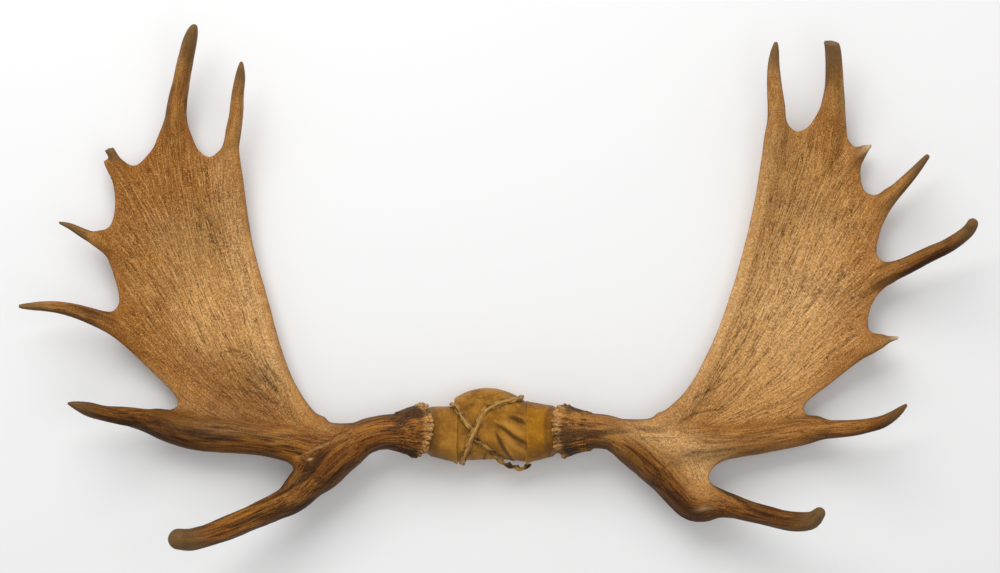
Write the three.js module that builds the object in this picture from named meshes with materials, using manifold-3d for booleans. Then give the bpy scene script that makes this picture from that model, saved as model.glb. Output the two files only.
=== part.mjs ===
// A pair of moose antlers on their skull plate, lying on its back, millimetres, +Z up.
//
// The origin is the middle of the plate's sawn back, which lies on z = 0. +X runs to the right
// antler and +Y to the tops of the palms. The hollow faces of the palms look up, along +Z.
// Each antler is one grown solid that is divided at its main forks. The bone between the
// antlers is covered with buckskin: a cuff round each pedicle, a panel over the crown and two
// thongs that cross on the panel.

import * as THREE from 'three';
import { mergeVertices } from 'three/addons/utils/BufferGeometryUtils.js';
import Module from 'manifold-3d';

const wasm = await Module();
wasm.setup();

// ---- Driving dimensions ----------------------------------------------------------------

const GAP = 0.3;                  // clearance between neighbouring solids
const MERGE_DISTANCE = 1e-4;      // corners closer than this are one corner
const RING_SIDES = 8;             // sides of a round section
const TIP_LENGTH = 0.8;           // a rounded tip's last ring, as shares of the tip's radius
const TIP_RADIUS = 0.45;
const BRANCH_ROOM = 1.4;          // how much wider than a branch the room is that divides it off

const PALM_THICKNESS = 16;
const PALM_LENGTH_RADIUS = 900;   // how the palm bows from the fork to its top
const PALM_WIDTH_RADIUS = 190;    // how the palm cups from side to side
const PALM_CUP_START = -330;      // the cup begins at the fork and is whole further up
const PALM_CUP_WHOLE = -60;
const COLUMN_HEIGHT = 200;        // tall enough to cut through every palm
const PALM_STEP_ALONG = 60;       // spacing of the slab's grid along and across the palm
const PALM_STEP_ACROSS = 40;
const PALM_REACH_ALONG = 420;
const PALM_REACH_ACROSS = 240;

const BURR_TILT = THREE.MathUtils.degToRad(20);   // the beams leave the skull forwards
const BURR_X = 103;
const BURR_Y = 1;
const BURR_Z = 46;
const BURR_FACE = 9;              // from the burr's crest to the face that meets the pedicle

const LEATHER = 2.5;              // thickness of the buckskin
const WRAP_SIDES = 16;            // points round a section of the buckskin
const PANEL_END = 55;             // half length of the centre panel along X
const PANEL_TOP = 64;             // crown of the panel above the origin
const PANEL_CROWN_X = -7;
const PANEL_CROWN_DROP = 0.0064;  // how fast the crown falls to the sides, per millimetre
const PANEL_BOTTOM = -42;
const PANEL_BOTTOM_DROP = 0.0016;
const PANEL_MID_Z = 34;
const PANEL_DEPTH = 38;           // half depth of the panel's section before it is cut flat
const BACK_Z = 0.4;               // the buckskin's back, just clear of the sawn bone at z = 0
const SQUARENESS = 0.77;          // 1 gives an ellipse, smaller values a squarer section
const WINDOW_WIDTH = 80;          // sawn bone that the buckskin leaves bare at the back
const WINDOW_HEIGHT = 48;
const WINDOW_Y = 10;
const WINDOW_CORNER = 12;
const CORNER_SEGMENTS = 3;        // straight pieces in each rounded corner of the window
const PANEL_STEPS = 6;            // lengths that the panel and a cuff are skinned in
const CUFF_STEPS = 3;
const PANEL_CUTTER_REACH = 1;     // how far a hollow is cut past the ends it opens
const CUFF_CUTTER_REACH = 10;

const CUFF_INNER = { y: -7, z: 39, halfHeight: 40, halfDepth: 35 };   // end beside the panel
const CUFF_EASE = 4;               // the cuffs lie loose round the pedicles
const PEDICLE_ROOT = 3;            // how far a pedicle runs into the plate
const CUFF_OUTER = { y: 0, z: 43, halfHeight: 37, halfDepth: 37 };    // end beside the burr

const THONG_RADIUS = 2.6;
const THONG_LIFT = 3.6;           // from the panel's face to the middle of a thong on it
const THONG_STEPS = 24;
const THONG_SEGMENTS = 3;         // straight pieces in each arc of a thong's section

// ---- Grown forms -----------------------------------------------------------------------

// A station is [x, y, radius, z]. Without z it lies on the palm's middle surface.
// A form starts inside its antler and ends at its tip.

const BURR_PROFILE = [[-9, 32], [-5, 37.5], [0, 40.5], [5, 39], [11, 32], [18, 28.5]];

const LEFT = {
  side: -1,
  palm: { centre: [-443, 246], axis: [-140, 450] },
  beam: [[-142, 0, 26.9, 58], [-163, -1, 25.6, 61], [-183, -6, 25.4, 63],
    [-204, -16, 26.6, 63], [-228, -32, 28.1, 63], [-251, -53, 28.1, 63]],
  beamEnd: 3,
  tines: {
    brow_tine: { cut: 3, stations: [[-219, -27, 25.9, 63], [-248, -53, 28.1, 62],
      [-276, -78, 27.1, 64], [-297, -99, 22.6, 70], [-321, -111, 19.7, 81],
      [-352, -124, 17.9, 100], [-382, -136, 17.4, 124], [-410, -145, 16.2, 148],
      [-434, -150, 16.2, 171], [-450, -148, 15.2, 188]] },
    second_tine: { cut: 6, stations: [[-217, -21, 25.1, 62], [-251, -27, 25.9, 60],
      [-306, -16, 22.9], [-374, -7, 21.2], [-429, -3, 21.5], [-464, 4, 20.4, 49],
      [-495, 12, 18, 55], [-523, 20, 15.5, 64], [-550, 25, 13.1, 76], [-571, 29, 11.3, 87],
      [-588, 34, 11.1, 96], [-600, 38, 8.8, 104], [-611, 42, 5.4, 111],
      [-618, 44, 2.5, 115]] },
    third_tine: { cut: 2, stations: [[-525, 127, 13.1], [-548, 148, 13.6], [-567, 161, 13.9, 61],
      [-586, 169, 12.4, 69], [-610, 178, 10.6, 79], [-635, 184, 8.8, 89], [-656, 186, 7.3, 98],
      [-674, 186, 5.7, 105], [-690, 186, 3.2, 111]] },
    fourth_tine: { cut: null, stations: [[-553, 258, 9.7], [-576, 278, 9.6], [-590, 286, 8.3, 52],
      [-607, 295, 6.7, 59], [-623, 304, 4.7, 67],
      [-637, 309, 2.2, 73]] },
    broken_tine: { cut: null, stations: [[-544, 374, 9], [-554, 394, 8.5, 38],
      [-566, 414, 7, 46]] },
    top_outer_tine: { cut: 2, stations: [[-470, 400, 11.9], [-472, 434, 14.5], [-471, 464, 15.9, 36],
      [-466, 495, 14, 45], [-459, 524, 12, 57], [-452, 551, 11.2, 70], [-445, 574, 10.6, 84],
      [-440, 588, 8.4, 93], [-437, 595, 5.3, 98]] },
    top_inner_tine: { cut: 7, stations: [[-217, -12, 22.2, 60], [-262, 4, 17, 58],
      [-303, 60, 15], [-330, 131, 14.1], [-352, 210, 13.4], [-370, 285, 11.9],
      [-386, 403, 12.3], [-384, 436, 11.4, 55], [-378, 471, 10.5, 65],
      [-375, 499, 9.3, 73], [-371, 521, 8, 81], [-369, 535, 5.4, 89],
      [-368, 543, 2.9, 93]] },
  },
  outline: [[-245, 15], [-264, 27], [-285, 55], [-310, 111], [-332, 189],
    [-357, 280], [-373, 400], [-378, 425], [-384, 442], [-393, 431], [-403, 419], [-420, 408],
    [-436, 417], [-447, 440], [-458, 466], [-468, 484], [-479, 468], [-493, 449], [-507, 419],
    [-531, 396], [-551, 401], [-563, 402], [-576, 402], [-574, 393], [-564, 368], [-561, 334],
    [-568, 304], [-586, 296], [-592, 281], [-573, 262], [-558, 220], [-553, 192],
    [-562, 177], [-580, 165], [-566, 148], [-549, 133], [-505, 88], [-477, 60],
    [-467, 41], [-476, 29], [-498, 28], [-502, 12], [-481, -11], [-425, -25],
    [-336, -28], [-307, -38], [-285, -45], [-262, -35]],
};

const RIGHT = {
  side: 1,
  palm: { centre: [455, 232], axis: [180, 450] },
  beam: [[142, 1, 26.7, 58], [160, 1, 25.2, 61], [179, -3, 24.9, 62],
    [198, -12, 25.9, 63], [219, -27, 27.4, 63], [240, -46, 27.4, 62]],
  beamEnd: 3,
  tines: {
    brow_tine: { cut: 5, stations: [[210, -21, 25.9, 63], [241, -47, 25.9, 61],
      [270, -80, 25.2, 60], [293, -104, 24.4, 60], [311, -109, 23.7, 63],
      [331, -105, 21.6, 69], [354, -108, 17.4, 79], [379, -115, 15, 96],
      [404, -120, 14.5, 116], [426, -125, 14, 137], [446, -126, 13.9, 156],
      [462, -122, 12.5, 173], [471, -111, 8.9, 188]] },
    second_tine: { cut: 6, stations: [[210, -13, 23.7, 62], [249, -16, 25.9, 61],
      [301, -16, 23.7], [361, -15, 19.6], [420, -6, 18.1], [454, 0, 17.8],
      [478, 3, 15.8, 52], [507, 4, 13.7, 61], [532, 6, 12.1, 71], [553, 10, 10.4, 81],
      [573, 16, 9.2, 92], [589, 26, 7.3, 102], [599, 35, 5.1, 110], [605, 41, 2.8, 114]] },
    third_tine: { cut: null, stations: [[540, 117, 12.9], [558, 127, 11.8], [574, 133, 8, 64],
      [587, 137, 4.9, 68], [598, 139, 2.5, 71]] },
    fourth_tine: { cut: 2, stations: [[540, 200, 13.4], [569, 223, 14.5, 44], [592, 236, 14.1, 55],
      [616, 247, 12.7, 67], [642, 261, 11.8, 82], [667, 273, 10.9, 96], [685, 286, 10, 110],
      [696, 297, 9.3, 122], [700, 306, 8.4, 132]] },
    fifth_tine: { cut: 2, stations: [[557, 295, 11], [568, 313, 11.9], [582, 337, 11.4, 40],
      [599, 356, 10.1, 50], [616, 375, 8.4, 61], [630, 392, 6.3, 71], [641, 406, 4, 80]] },
    sixth_tine: { cut: null, stations: [[532, 398, 9.7], [548, 413, 7.4, 36],
      [562, 424, 2.2, 44]] },
    top_outer_tine: { cut: 2, stations: [[497, 395, 11.2], [501, 426, 13.4], [505, 463, 16.1, 40],
      [507, 491, 16.3, 48], [507, 515, 14.1, 59], [505, 541, 13, 72], [502, 563, 11.9, 84],
      [498, 575, 10.3, 91]] },
    top_inner_tine: { cut: 8, stations: [[207, -7, 22.2, 60], [257, 6, 18.5, 58],
      [299, 48, 16.5], [330, 110, 14.9], [357, 174, 14.2], [381, 240, 13.9],
      [413, 381, 13.4], [419, 432, 13.3], [421, 465, 13.4, 61], [419, 493, 11.8, 67],
      [416, 520, 10.2, 74], [415, 543, 8.5, 82], [416, 560, 6.3, 90],
      [417, 571, 3.5, 95]] },
  },
  outline: [[242, 20], [260, 33], [287, 58], [312, 94], [337, 146], [364, 228],
    [386, 317], [398, 391], [404, 440], [410, 464], [419, 481], [428, 467], [438, 455], [453, 445],
    [471, 454], [484, 474], [495, 494], [507, 509], [518, 490], [526, 460], [530, 435], [542, 422],
    [555, 424], [555, 413], [549, 386], [555, 358], [572, 351], [588, 361], [598, 361],
    [596, 345], [583, 316], [572, 270], [579, 254], [596, 249], [606, 241], [596, 226],
    [579, 212], [562, 183], [559, 151], [578, 142], [580, 129], [548, 109], [502, 70], [468, 42],
    [466, 22], [484, 19], [487, 3], [470, -13], [427, -24], [360, -35], [336, -45], [323, -59],
    [321, -75], [330, -92], [300, -92], [262, -45]],
};

// Thong routes: [x, y] lies on the panel's face, [x, y, z] is free of it.
const THONG_ROUTES = {
  front_thong: [[44, 52, 28], [43.5, 51.5, 40], [41, 46.5], [33, 46], [24, 45], [12, 42], [5, 39],
    [-4, 35], [-11, 30], [-15.5, 24], [-18.5, 17], [-21, 11, 77.5], [-25, 4, 81.5],
    [-29, -4, 81.5], [-32.5, -12, 78], [-35, -21], [-39, -29], [-41.5, -36], [-43, -41],
    [-44.5, -49, 38], [-45, -49.5, 28]],
  rear_thong: [[-58.5, 38.5, 26], [-58.8, 40, 44], [-58.3, 41.5, 60], [-56.5, 41, 67.5],
    [-52, 35], [-46, 25], [-40.5, 18.5], [-36, 12.5], [-30, 6], [-27, -2], [-24, -10.5],
    [-13, -17], [-1, -27], [7.5, -34.5], [17.5, -46.5, 52], [30, -51.5, 43], [42, -56, 36],
    [50.5, -53.5, 30], [55.5, -50.5, 24]],
};

// ---- Materials -------------------------------------------------------------------------

function material(color, roughness) {
  return new THREE.MeshStandardMaterial({ color, roughness, metalness: 0 });
}

const MATERIALS = {
  palm: material(0xa9824f, 0.5),
  beam: material(0x7d5630, 0.42),
  tine: material(0x6e4a28, 0.42),
  bone: material(0xd8c9a6, 0.7),
  buckskin: material(0xa57940, 0.92),
  thong: material(0x8f6a38, 0.9),
};

// ---- Solids ----------------------------------------------------------------------------

// A closed three.js geometry becomes a solid that can be joined and cut.
function toSolid(geometry) {
  const bare = geometry.clone();
  bare.deleteAttribute('normal');
  bare.deleteAttribute('uv');
  const merged = mergeVertices(bare, MERGE_DISTANCE);
  const mesh = new wasm.Mesh({
    numProp: 3,
    vertProperties: new Float32Array(merged.attributes.position.array),
    triVerts: new Uint32Array(merged.index.array),
  });
  return new wasm.Manifold(mesh);
}

function toGeometry(solid) {
  const mesh = solid.getMesh();
  const geometry = new THREE.BufferGeometry();
  geometry.setAttribute('position', new THREE.BufferAttribute(mesh.vertProperties, 3));
  geometry.setIndex(new THREE.BufferAttribute(mesh.triVerts, 1));
  geometry.computeVertexNormals();
  return geometry;
}

// Rings of equal point count are skinned into one closed body with a fan over each end.
function skin(rings) {
  const sides = rings[0].length;
  const middle = (ring) => ring.reduce((sum, p) => sum.add(p), new THREE.Vector3())
    .divideScalar(sides);
  const points = rings.flat();
  const first = points.push(middle(rings[0])) - 1;
  const last = points.push(middle(rings.at(-1))) - 1;
  const index = [];
  for (let ring = 0; ring < rings.length - 1; ring += 1) {
    for (let side = 0; side < sides; side += 1) {
      const a = ring * sides + side;
      const b = ring * sides + (side + 1) % sides;
      index.push(a, b, b + sides, a, b + sides, a + sides);
    }
  }
  const end = (rings.length - 1) * sides;
  for (let side = 0; side < sides; side += 1) {
    const next = (side + 1) % sides;
    index.push(first, next, side, last, end + side, end + next);
  }
  const geometry = new THREE.BufferGeometry();
  geometry.setAttribute('position', new THREE.Float32BufferAttribute(
    points.flatMap((p) => [p.x, p.y, p.z]), 3));
  geometry.setIndex(index);
  return toSolid(geometry);
}

// A round form along a smooth curve through [x, y, radius, z] stations.
// A rounded end adds one small ring past the last station.
function grownForm(stations, rounded = true) {
  const centres = stations.map(([x, y, , z]) => new THREE.Vector3(x, y, z));
  const curve = new THREE.CatmullRomCurve3(centres, false, 'centripetal');
  const up = new THREE.Vector3(0, 0, 1);
  const ringAt = (centre, tangent, radius) => {
    const across = new THREE.Vector3().crossVectors(up, tangent).normalize();
    const over = new THREE.Vector3().crossVectors(tangent, across);
    return Array.from({ length: RING_SIDES }, (_, side) => {
      const angle = (side / RING_SIDES) * 2 * Math.PI;
      return centre.clone()
        .addScaledVector(across, radius * Math.cos(angle))
        .addScaledVector(over, radius * Math.sin(angle));
    });
  };
  const rings = stations.map(([, , radius], i) => (
    ringAt(centres[i], curve.getTangent(i / (stations.length - 1)), radius)));
  if (rounded) {
    const radius = stations.at(-1)[2];
    const tangent = curve.getTangent(1);
    const tip = centres.at(-1).clone().addScaledVector(tangent, TIP_LENGTH * radius);
    rings.push(ringAt(tip, tangent, TIP_RADIUS * radius));
  }
  return skin(rings);
}

// ---- Antlers ---------------------------------------------------------------------------

// The palm's own directions: along it from the fork to the top, and across it.
function palmFrame({ centre, axis }) {
  const along = new THREE.Vector2(...axis).normalize();
  const across = new THREE.Vector2(along.y, -along.x);
  return { centre: new THREE.Vector2(...centre), along, across };
}

// Height of the palm's middle surface: its belly rests on the ground and its edges cup up.
function cup(s, t) {
  const share = THREE.MathUtils.smoothstep(s, PALM_CUP_START, PALM_CUP_WHOLE);
  return PALM_THICKNESS / 2 + s * s / (2 * PALM_LENGTH_RADIUS)
    + share * t * t / (2 * PALM_WIDTH_RADIUS);
}

function palmHeight(frame, x, y) {
  const offset = new THREE.Vector2(x, y).sub(frame.centre);
  return cup(offset.dot(frame.along), offset.dot(frame.across));
}

// Two bent sheets of points, one over the other, closed round their rim.
function palmSlab(frame) {
  const countS = Math.round(2 * PALM_REACH_ALONG / PALM_STEP_ALONG);
  const countT = Math.round(2 * PALM_REACH_ACROSS / PALM_STEP_ACROSS);
  const points = [];
  for (const face of [-1, 1]) {
    for (let i = 0; i <= countS; i += 1) {
      for (let j = 0; j <= countT; j += 1) {
        const s = -PALM_REACH_ALONG + i * PALM_STEP_ALONG;
        const t = -PALM_REACH_ACROSS + j * PALM_STEP_ACROSS;
        const flat = frame.centre.clone().addScaledVector(frame.along, s)
          .addScaledVector(frame.across, t);
        points.push(flat.x, flat.y, cup(s, t) + face * PALM_THICKNESS / 2);
      }
    }
  }
  const row = countT + 1;
  const layer = (countS + 1) * row;
  const index = [];
  const quad = (a, b, c, d) => index.push(a, b, c, a, c, d);
  for (let i = 0; i < countS; i += 1) {
    for (let j = 0; j < countT; j += 1) {
      const a = i * row + j;
      quad(a, a + row, a + row + 1, a + 1);
      quad(a + layer, a + layer + 1, a + layer + row + 1, a + layer + row);
    }
  }
  for (let i = 0; i < countS; i += 1) {
    const low = i * row;
    const high = i * row + countT;
    quad(low, low + layer, low + layer + row, low + row);
    quad(high, high + row, high + layer + row, high + layer);
  }
  for (let j = 0; j < countT; j += 1) {
    const far = countS * row + j;
    quad(j, j + 1, j + 1 + layer, j + layer);
    quad(far, far + layer, far + layer + 1, far + 1);
  }
  const geometry = new THREE.BufferGeometry();
  geometry.setAttribute('position', new THREE.Float32BufferAttribute(points, 3));
  geometry.setIndex(index);
  return toSolid(geometry);
}

// The slab is trimmed to the palm's scalloped outline.
function palmBlade(frame, outline) {
  const shape = new THREE.Shape(outline.map(([x, y]) => new THREE.Vector2(x, y)));
  const column = new THREE.ExtrudeGeometry(shape, { depth: COLUMN_HEIGHT, bevelEnabled: false });
  column.translate(0, 0, -PALM_THICKNESS);
  return palmSlab(frame).intersect(toSolid(column));
}

// Stations of the burr, from the face that meets the pedicle outwards along the beam.
function burrStations(side) {
  return BURR_PROFILE.map(([distance, radius]) => [
    side * (BURR_X + distance * Math.cos(BURR_TILT)), BURR_Y, radius,
    BURR_Z + distance * Math.sin(BURR_TILT)]);
}

// The room that one branch takes, wider than the branch, from a cut across it outwards.
// The margin makes the room larger all round and moves the cut towards the root.
function branchRoom(stations, margin) {
  const wider = stations.map(([x, y, radius, z]) => (
    [x, y, BRANCH_ROOM * radius + margin, z]));
  const step = (from, to, distance) => {
    const start = new THREE.Vector3(from[0], from[1], from[3]);
    const end = new THREE.Vector3(to[0], to[1], to[3]);
    const moved = start.addScaledVector(start.clone().sub(end).normalize(), distance);
    return [moved.x, moved.y, from[2], moved.z];
  };
  wider[0] = step(wider[0], wider[1], margin);
  wider.push(step(wider.at(-1), wider.at(-2), wider.at(-1)[2]));
  return grownForm(wider, false);
}

function antler(name, plan) {
  const frame = palmFrame(plan.palm);
  const raised = (stations) => stations.map(([x, y, radius, z = palmHeight(frame, x, y)]) => (
    [x, y, radius, z]));
  const beam = [...burrStations(plan.side), ...raised(plan.beam)];
  const beamCut = burrStations(plan.side).length + plan.beamEnd;

  let rest = grownForm(beam, false).add(palmBlade(frame, plan.outline));
  for (const { stations } of Object.values(plan.tines)) rest = rest.add(grownForm(raised(stations)));

  const nodes = [];
  const divide = (part, stations, slot) => {
    nodes.push(node(`${name}_${part}`, rest.intersect(branchRoom(stations, 0)), slot));
    rest = rest.subtract(branchRoom(stations, GAP));
  };
  divide('beam', beam.slice(0, beamCut + 1).reverse(), MATERIALS.beam);
  for (const [part, { cut, stations }] of Object.entries(plan.tines)) {
    if (cut !== null) divide(part, raised(stations).slice(cut), MATERIALS.tine);
  }
  nodes.push(node(`${name}_palm`, rest, MATERIALS.palm));
  return nodes;
}

// ---- Skull plate and buckskin ----------------------------------------------------------

// A squarish closed section in the plane across X, cut flat at its back.
function section(x, { y, z, halfHeight, halfDepth }, inset, floor, tilt = 0) {
  return Array.from({ length: WRAP_SIDES }, (_, side) => {
    const angle = (side / WRAP_SIDES) * 2 * Math.PI;
    const soften = (value) => Math.sign(value) * Math.abs(value) ** SQUARENESS;
    const high = z + (halfDepth - inset) * soften(Math.sin(angle));
    const point = new THREE.Vector3(x, y + (halfHeight - inset) * soften(Math.cos(angle)),
      Math.max(high, floor));
    point.x += (point.z - z) * Math.tan(tilt);
    return point;
  });
}

// Size of the centre panel's section at one place along X.
function panelSize(x) {
  const top = PANEL_TOP - PANEL_CROWN_DROP * (x - PANEL_CROWN_X) ** 2;
  const bottom = PANEL_BOTTOM - PANEL_BOTTOM_DROP * x * x;
  return { y: (top + bottom) / 2, z: PANEL_MID_Z, halfHeight: (top - bottom) / 2,
    halfDepth: PANEL_DEPTH };
}

function panelForm(half, inset, floor) {
  const places = Array.from({ length: PANEL_STEPS + 1 }, (_, i) => (
    (2 * half * i) / PANEL_STEPS - half));
  return skin(places.map((x) => section(x, panelSize(x), inset, floor)));
}

// From the burr, where the section leans with it, to the panel, where it stands square.
function cuffForm(side, clear, reach, inset) {
  const outerX = BURR_X - BURR_FACE - clear;
  const innerX = PANEL_END + reach;
  const rings = Array.from({ length: CUFF_STEPS + 1 }, (_, i) => {
    const k = i / CUFF_STEPS;
    const size = {};
    for (const key of Object.keys(CUFF_OUTER)) {
      size[key] = THREE.MathUtils.lerp(CUFF_OUTER[key], CUFF_INNER[key], k);
    }
    const x = side * THREE.MathUtils.lerp(outerX, innerX, k);
    return section(x, size, inset, -Infinity, -side * BURR_TILT * (1 - k));
  });
  return skin(side < 0 ? rings : rings.reverse());
}

function backWindow(shrink, low, high) {
  const width = WINDOW_WIDTH / 2 - shrink;
  const height = WINDOW_HEIGHT / 2 - shrink;
  const r = WINDOW_CORNER - shrink;
  const shape = new THREE.Shape();
  shape.absarc(width - r, height - r, r, 0, Math.PI / 2);
  shape.absarc(r - width, height - r, r, Math.PI / 2, Math.PI);
  shape.absarc(r - width, r - height, r, Math.PI, 1.5 * Math.PI);
  shape.absarc(width - r, r - height, r, 1.5 * Math.PI, 2 * Math.PI);
  const block = new THREE.ExtrudeGeometry(shape, {
    depth: high - low, bevelEnabled: false, curveSegments: CORNER_SEGMENTS });
  block.translate(0, WINDOW_Y, low);
  return toSolid(block);
}

function skullPlate() {
  const inset = LEATHER + GAP;
  const pedicle = (side) => cuffForm(side, GAP, -PEDICLE_ROOT, LEATHER + CUFF_EASE);
  return panelForm(PANEL_END - GAP, inset, BACK_Z + inset)
    .add(pedicle(-1)).add(pedicle(1))
    .add(backWindow(GAP, 0, 2 * LEATHER + BACK_Z));
}

function cuff(side) {
  return cuffForm(side, GAP, GAP, 0)
    .subtract(cuffForm(side, -CUFF_CUTTER_REACH, -CUFF_CUTTER_REACH, LEATHER));
}

function centrePanel() {
  return panelForm(PANEL_END, 0, BACK_Z)
    .subtract(panelForm(PANEL_END + PANEL_CUTTER_REACH, LEATHER, BACK_Z + LEATHER))
    .subtract(backWindow(0, -LEATHER, 2 * LEATHER));
}

// A point over the panel's face, lifted off it along the normal of the squarish section.
function overPanel(x, y, lift) {
  const size = panelSize(x);
  const power = 2 / SQUARENESS;
  const shareY = THREE.MathUtils.clamp((y - size.y) / size.halfHeight, -1, 1);
  const shareZ = (1 - Math.abs(shareY) ** power) ** (1 / power);
  const normal = new THREE.Vector3(0,
    Math.sign(shareY) * Math.abs(shareY) ** (power - 1) / size.halfHeight,
    shareZ ** (power - 1) / size.halfDepth).normalize();
  return new THREE.Vector3(x, y, size.z + size.halfDepth * shareZ).addScaledVector(normal, lift);
}

function thong(route) {
  const points = route.map(([x, y, z]) => (
    z === undefined ? overPanel(x, y, THONG_LIFT) : new THREE.Vector3(x, y, z)));
  const path = new THREE.CatmullRomCurve3(points, false, 'centripetal');
  const strip = new THREE.Shape();
  strip.absarc(0, 0, THONG_RADIUS, 0, 2 * Math.PI);
  return toSolid(new THREE.ExtrudeGeometry(strip, {
    steps: THONG_STEPS, curveSegments: THONG_SEGMENTS, bevelEnabled: false,
    extrudePath: path }));
}

// ---- Assembly --------------------------------------------------------------------------

function node(name, solid, slot) {
  const mesh = new THREE.Mesh(toGeometry(solid), slot);
  mesh.name = name;
  return mesh;
}

const group = new THREE.Group();
group.add(...antler('left', LEFT));
group.add(...antler('right', RIGHT));
group.add(node('skull_plate', skullPlate(), MATERIALS.bone));
group.add(node('left_cuff', cuff(-1), MATERIALS.buckskin));
group.add(node('centre_panel', centrePanel(), MATERIALS.buckskin));
group.add(node('right_cuff', cuff(1), MATERIALS.buckskin));
group.add(node('rear_thong', thong(THONG_ROUTES.rear_thong), MATERIALS.thong));
group.add(node('front_thong', thong(THONG_ROUTES.front_thong), MATERIALS.thong));

export default group;
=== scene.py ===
import math

import bpy
import numpy as np
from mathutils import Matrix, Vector


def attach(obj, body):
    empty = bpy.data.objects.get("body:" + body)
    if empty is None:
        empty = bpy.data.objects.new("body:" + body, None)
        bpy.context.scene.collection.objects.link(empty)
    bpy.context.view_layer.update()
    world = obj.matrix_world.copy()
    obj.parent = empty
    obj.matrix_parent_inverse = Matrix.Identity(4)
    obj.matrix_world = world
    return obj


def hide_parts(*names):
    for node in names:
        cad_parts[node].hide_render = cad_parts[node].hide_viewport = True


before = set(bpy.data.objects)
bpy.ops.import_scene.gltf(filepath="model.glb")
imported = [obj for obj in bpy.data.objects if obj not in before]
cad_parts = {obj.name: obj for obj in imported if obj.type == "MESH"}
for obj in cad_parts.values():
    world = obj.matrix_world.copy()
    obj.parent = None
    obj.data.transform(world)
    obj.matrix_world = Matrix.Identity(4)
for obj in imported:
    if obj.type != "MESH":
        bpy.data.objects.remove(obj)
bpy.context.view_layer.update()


# ---- Studio ------------------------------------------------------------------------------
# The rack lies on its back on a pale floor, and the camera looks straight down on it from
# far away, as one looks at a rack on a wall.

VIEW_CENTRE = (0.012, 0.215)
VIEW_WIDTH = 1.5
VIEW_HEIGHT = 4.5
SENSOR = 36.0

camera_data = bpy.data.cameras.new("camera")
camera_data.sensor_width = SENSOR
camera_data.lens = SENSOR * VIEW_HEIGHT / VIEW_WIDTH
camera_data.clip_end = 50
camera = bpy.data.objects.new("camera", camera_data)
camera.location = (*VIEW_CENTRE, VIEW_HEIGHT)
bpy.context.scene.collection.objects.link(camera)
bpy.context.scene.camera = camera
bpy.context.scene.view_settings.view_transform = "Standard"


def paint(red, green, blue):
    """A colour given as 8-bit screen values, as the linear values that Blender wants."""
    shares = np.array([red, green, blue]) / 255
    linear = np.where(shares <= 0.04045, shares / 12.92, ((shares + 0.055) / 1.055) ** 2.4)
    return (*(float(value) for value in linear), 1.0)


class Wire:
    """A shader socket. Sums and products of sockets and numbers add the Math nodes for them."""

    tree = None

    def __init__(self, socket):
        self.socket = socket

    @classmethod
    def node(cls, kind, settings=None, **inputs):
        """Adds a node of a type, sets its settings, then its inputs by name or number."""
        added = cls.tree.nodes.new(kind)
        for name, value in (settings or {}).items():
            setattr(added, name, value)
        for name, value in inputs.items():
            key = int(name[1:]) if name[0] == "_" else name.replace("_", " ")
            if isinstance(value, Wire):
                cls.tree.links.new(value.socket, added.inputs[key])
            else:
                added.inputs[key].default_value = value
        return added

    @classmethod
    def out(cls, kind, output=0, settings=None, **inputs):
        """One output of a new node, by name or number."""
        return Wire(cls.node(kind, settings, **inputs).outputs[output])

    @staticmethod
    def math(operation, *values):
        """The result of one Math node on sockets and numbers."""
        named = {f"_{number}": value for number, value in enumerate(values)}
        return Wire.out("ShaderNodeMath", 0, {"operation": operation}, **named)

    def __add__(self, other):
        return Wire.math("ADD", self, other)

    def __sub__(self, other):
        return Wire.math("SUBTRACT", self, other)

    def __mul__(self, other):
        return Wire.math("MULTIPLY", self, other)

    def __rsub__(self, other):
        return Wire.math("SUBTRACT", other, self)

    __radd__ = __add__
    __rmul__ = __mul__

    def mixed(self, first, second):
        """A number between two numbers, by this share."""
        return Wire.out("ShaderNodeMix", 0, None, _0=self, _2=first, _3=second)

    def between(self, low, high):
        """0 at low and 1 at high, smooth and clamped between."""
        return Wire.out("ShaderNodeMapRange", 0, {"interpolation_type": "SMOOTHSTEP"},
                        Value=self, From_Min=low, From_Max=high)

    @staticmethod
    def mix(share, first, second):
        """A colour between two colours, by a share from 0 to 1."""
        return Wire.out("ShaderNodeMix", 2, {"data_type": "RGBA"},
                        _0=share, _6=first, _7=second)

    @staticmethod
    def noise(place, size, detail=3.0, roughness=0.5, distortion=0.0):
        """Cloudy noise from 0 to 1 with clouds of a size in metres."""
        return Wire.out("ShaderNodeTexNoise", 0, Vector=place, Scale=1 / size, Detail=detail,
                        Roughness=roughness, Distortion=distortion)


def new_material(name):
    """An empty node material, with its tree ready for wiring."""
    material = bpy.data.materials.new(name)
    material.use_nodes = True
    material.node_tree.nodes.clear()
    Wire.tree = material.node_tree
    return material


def coats(colour, *layers):
    """A colour under thin coats of others, each a share from 0 to 1 and an 8-bit colour."""
    for share, coat in layers:
        colour = Wire.mix(share, colour, paint(*coat))
    return colour


def finish_surface(colour, roughness, normal=None, **inputs):
    """The material's one principled shader, wired to its output."""
    linked = {"Base_Color": colour, "Roughness": roughness, **inputs}
    if normal is not None:
        linked["Normal"] = normal
    shader = Wire.out("ShaderNodeBsdfPrincipled", 0, **linked)
    Wire.node("ShaderNodeOutputMaterial", Surface=shader)


FLOOR_HALF = 6.0
FLOOR_DROP = 0.0005

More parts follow.
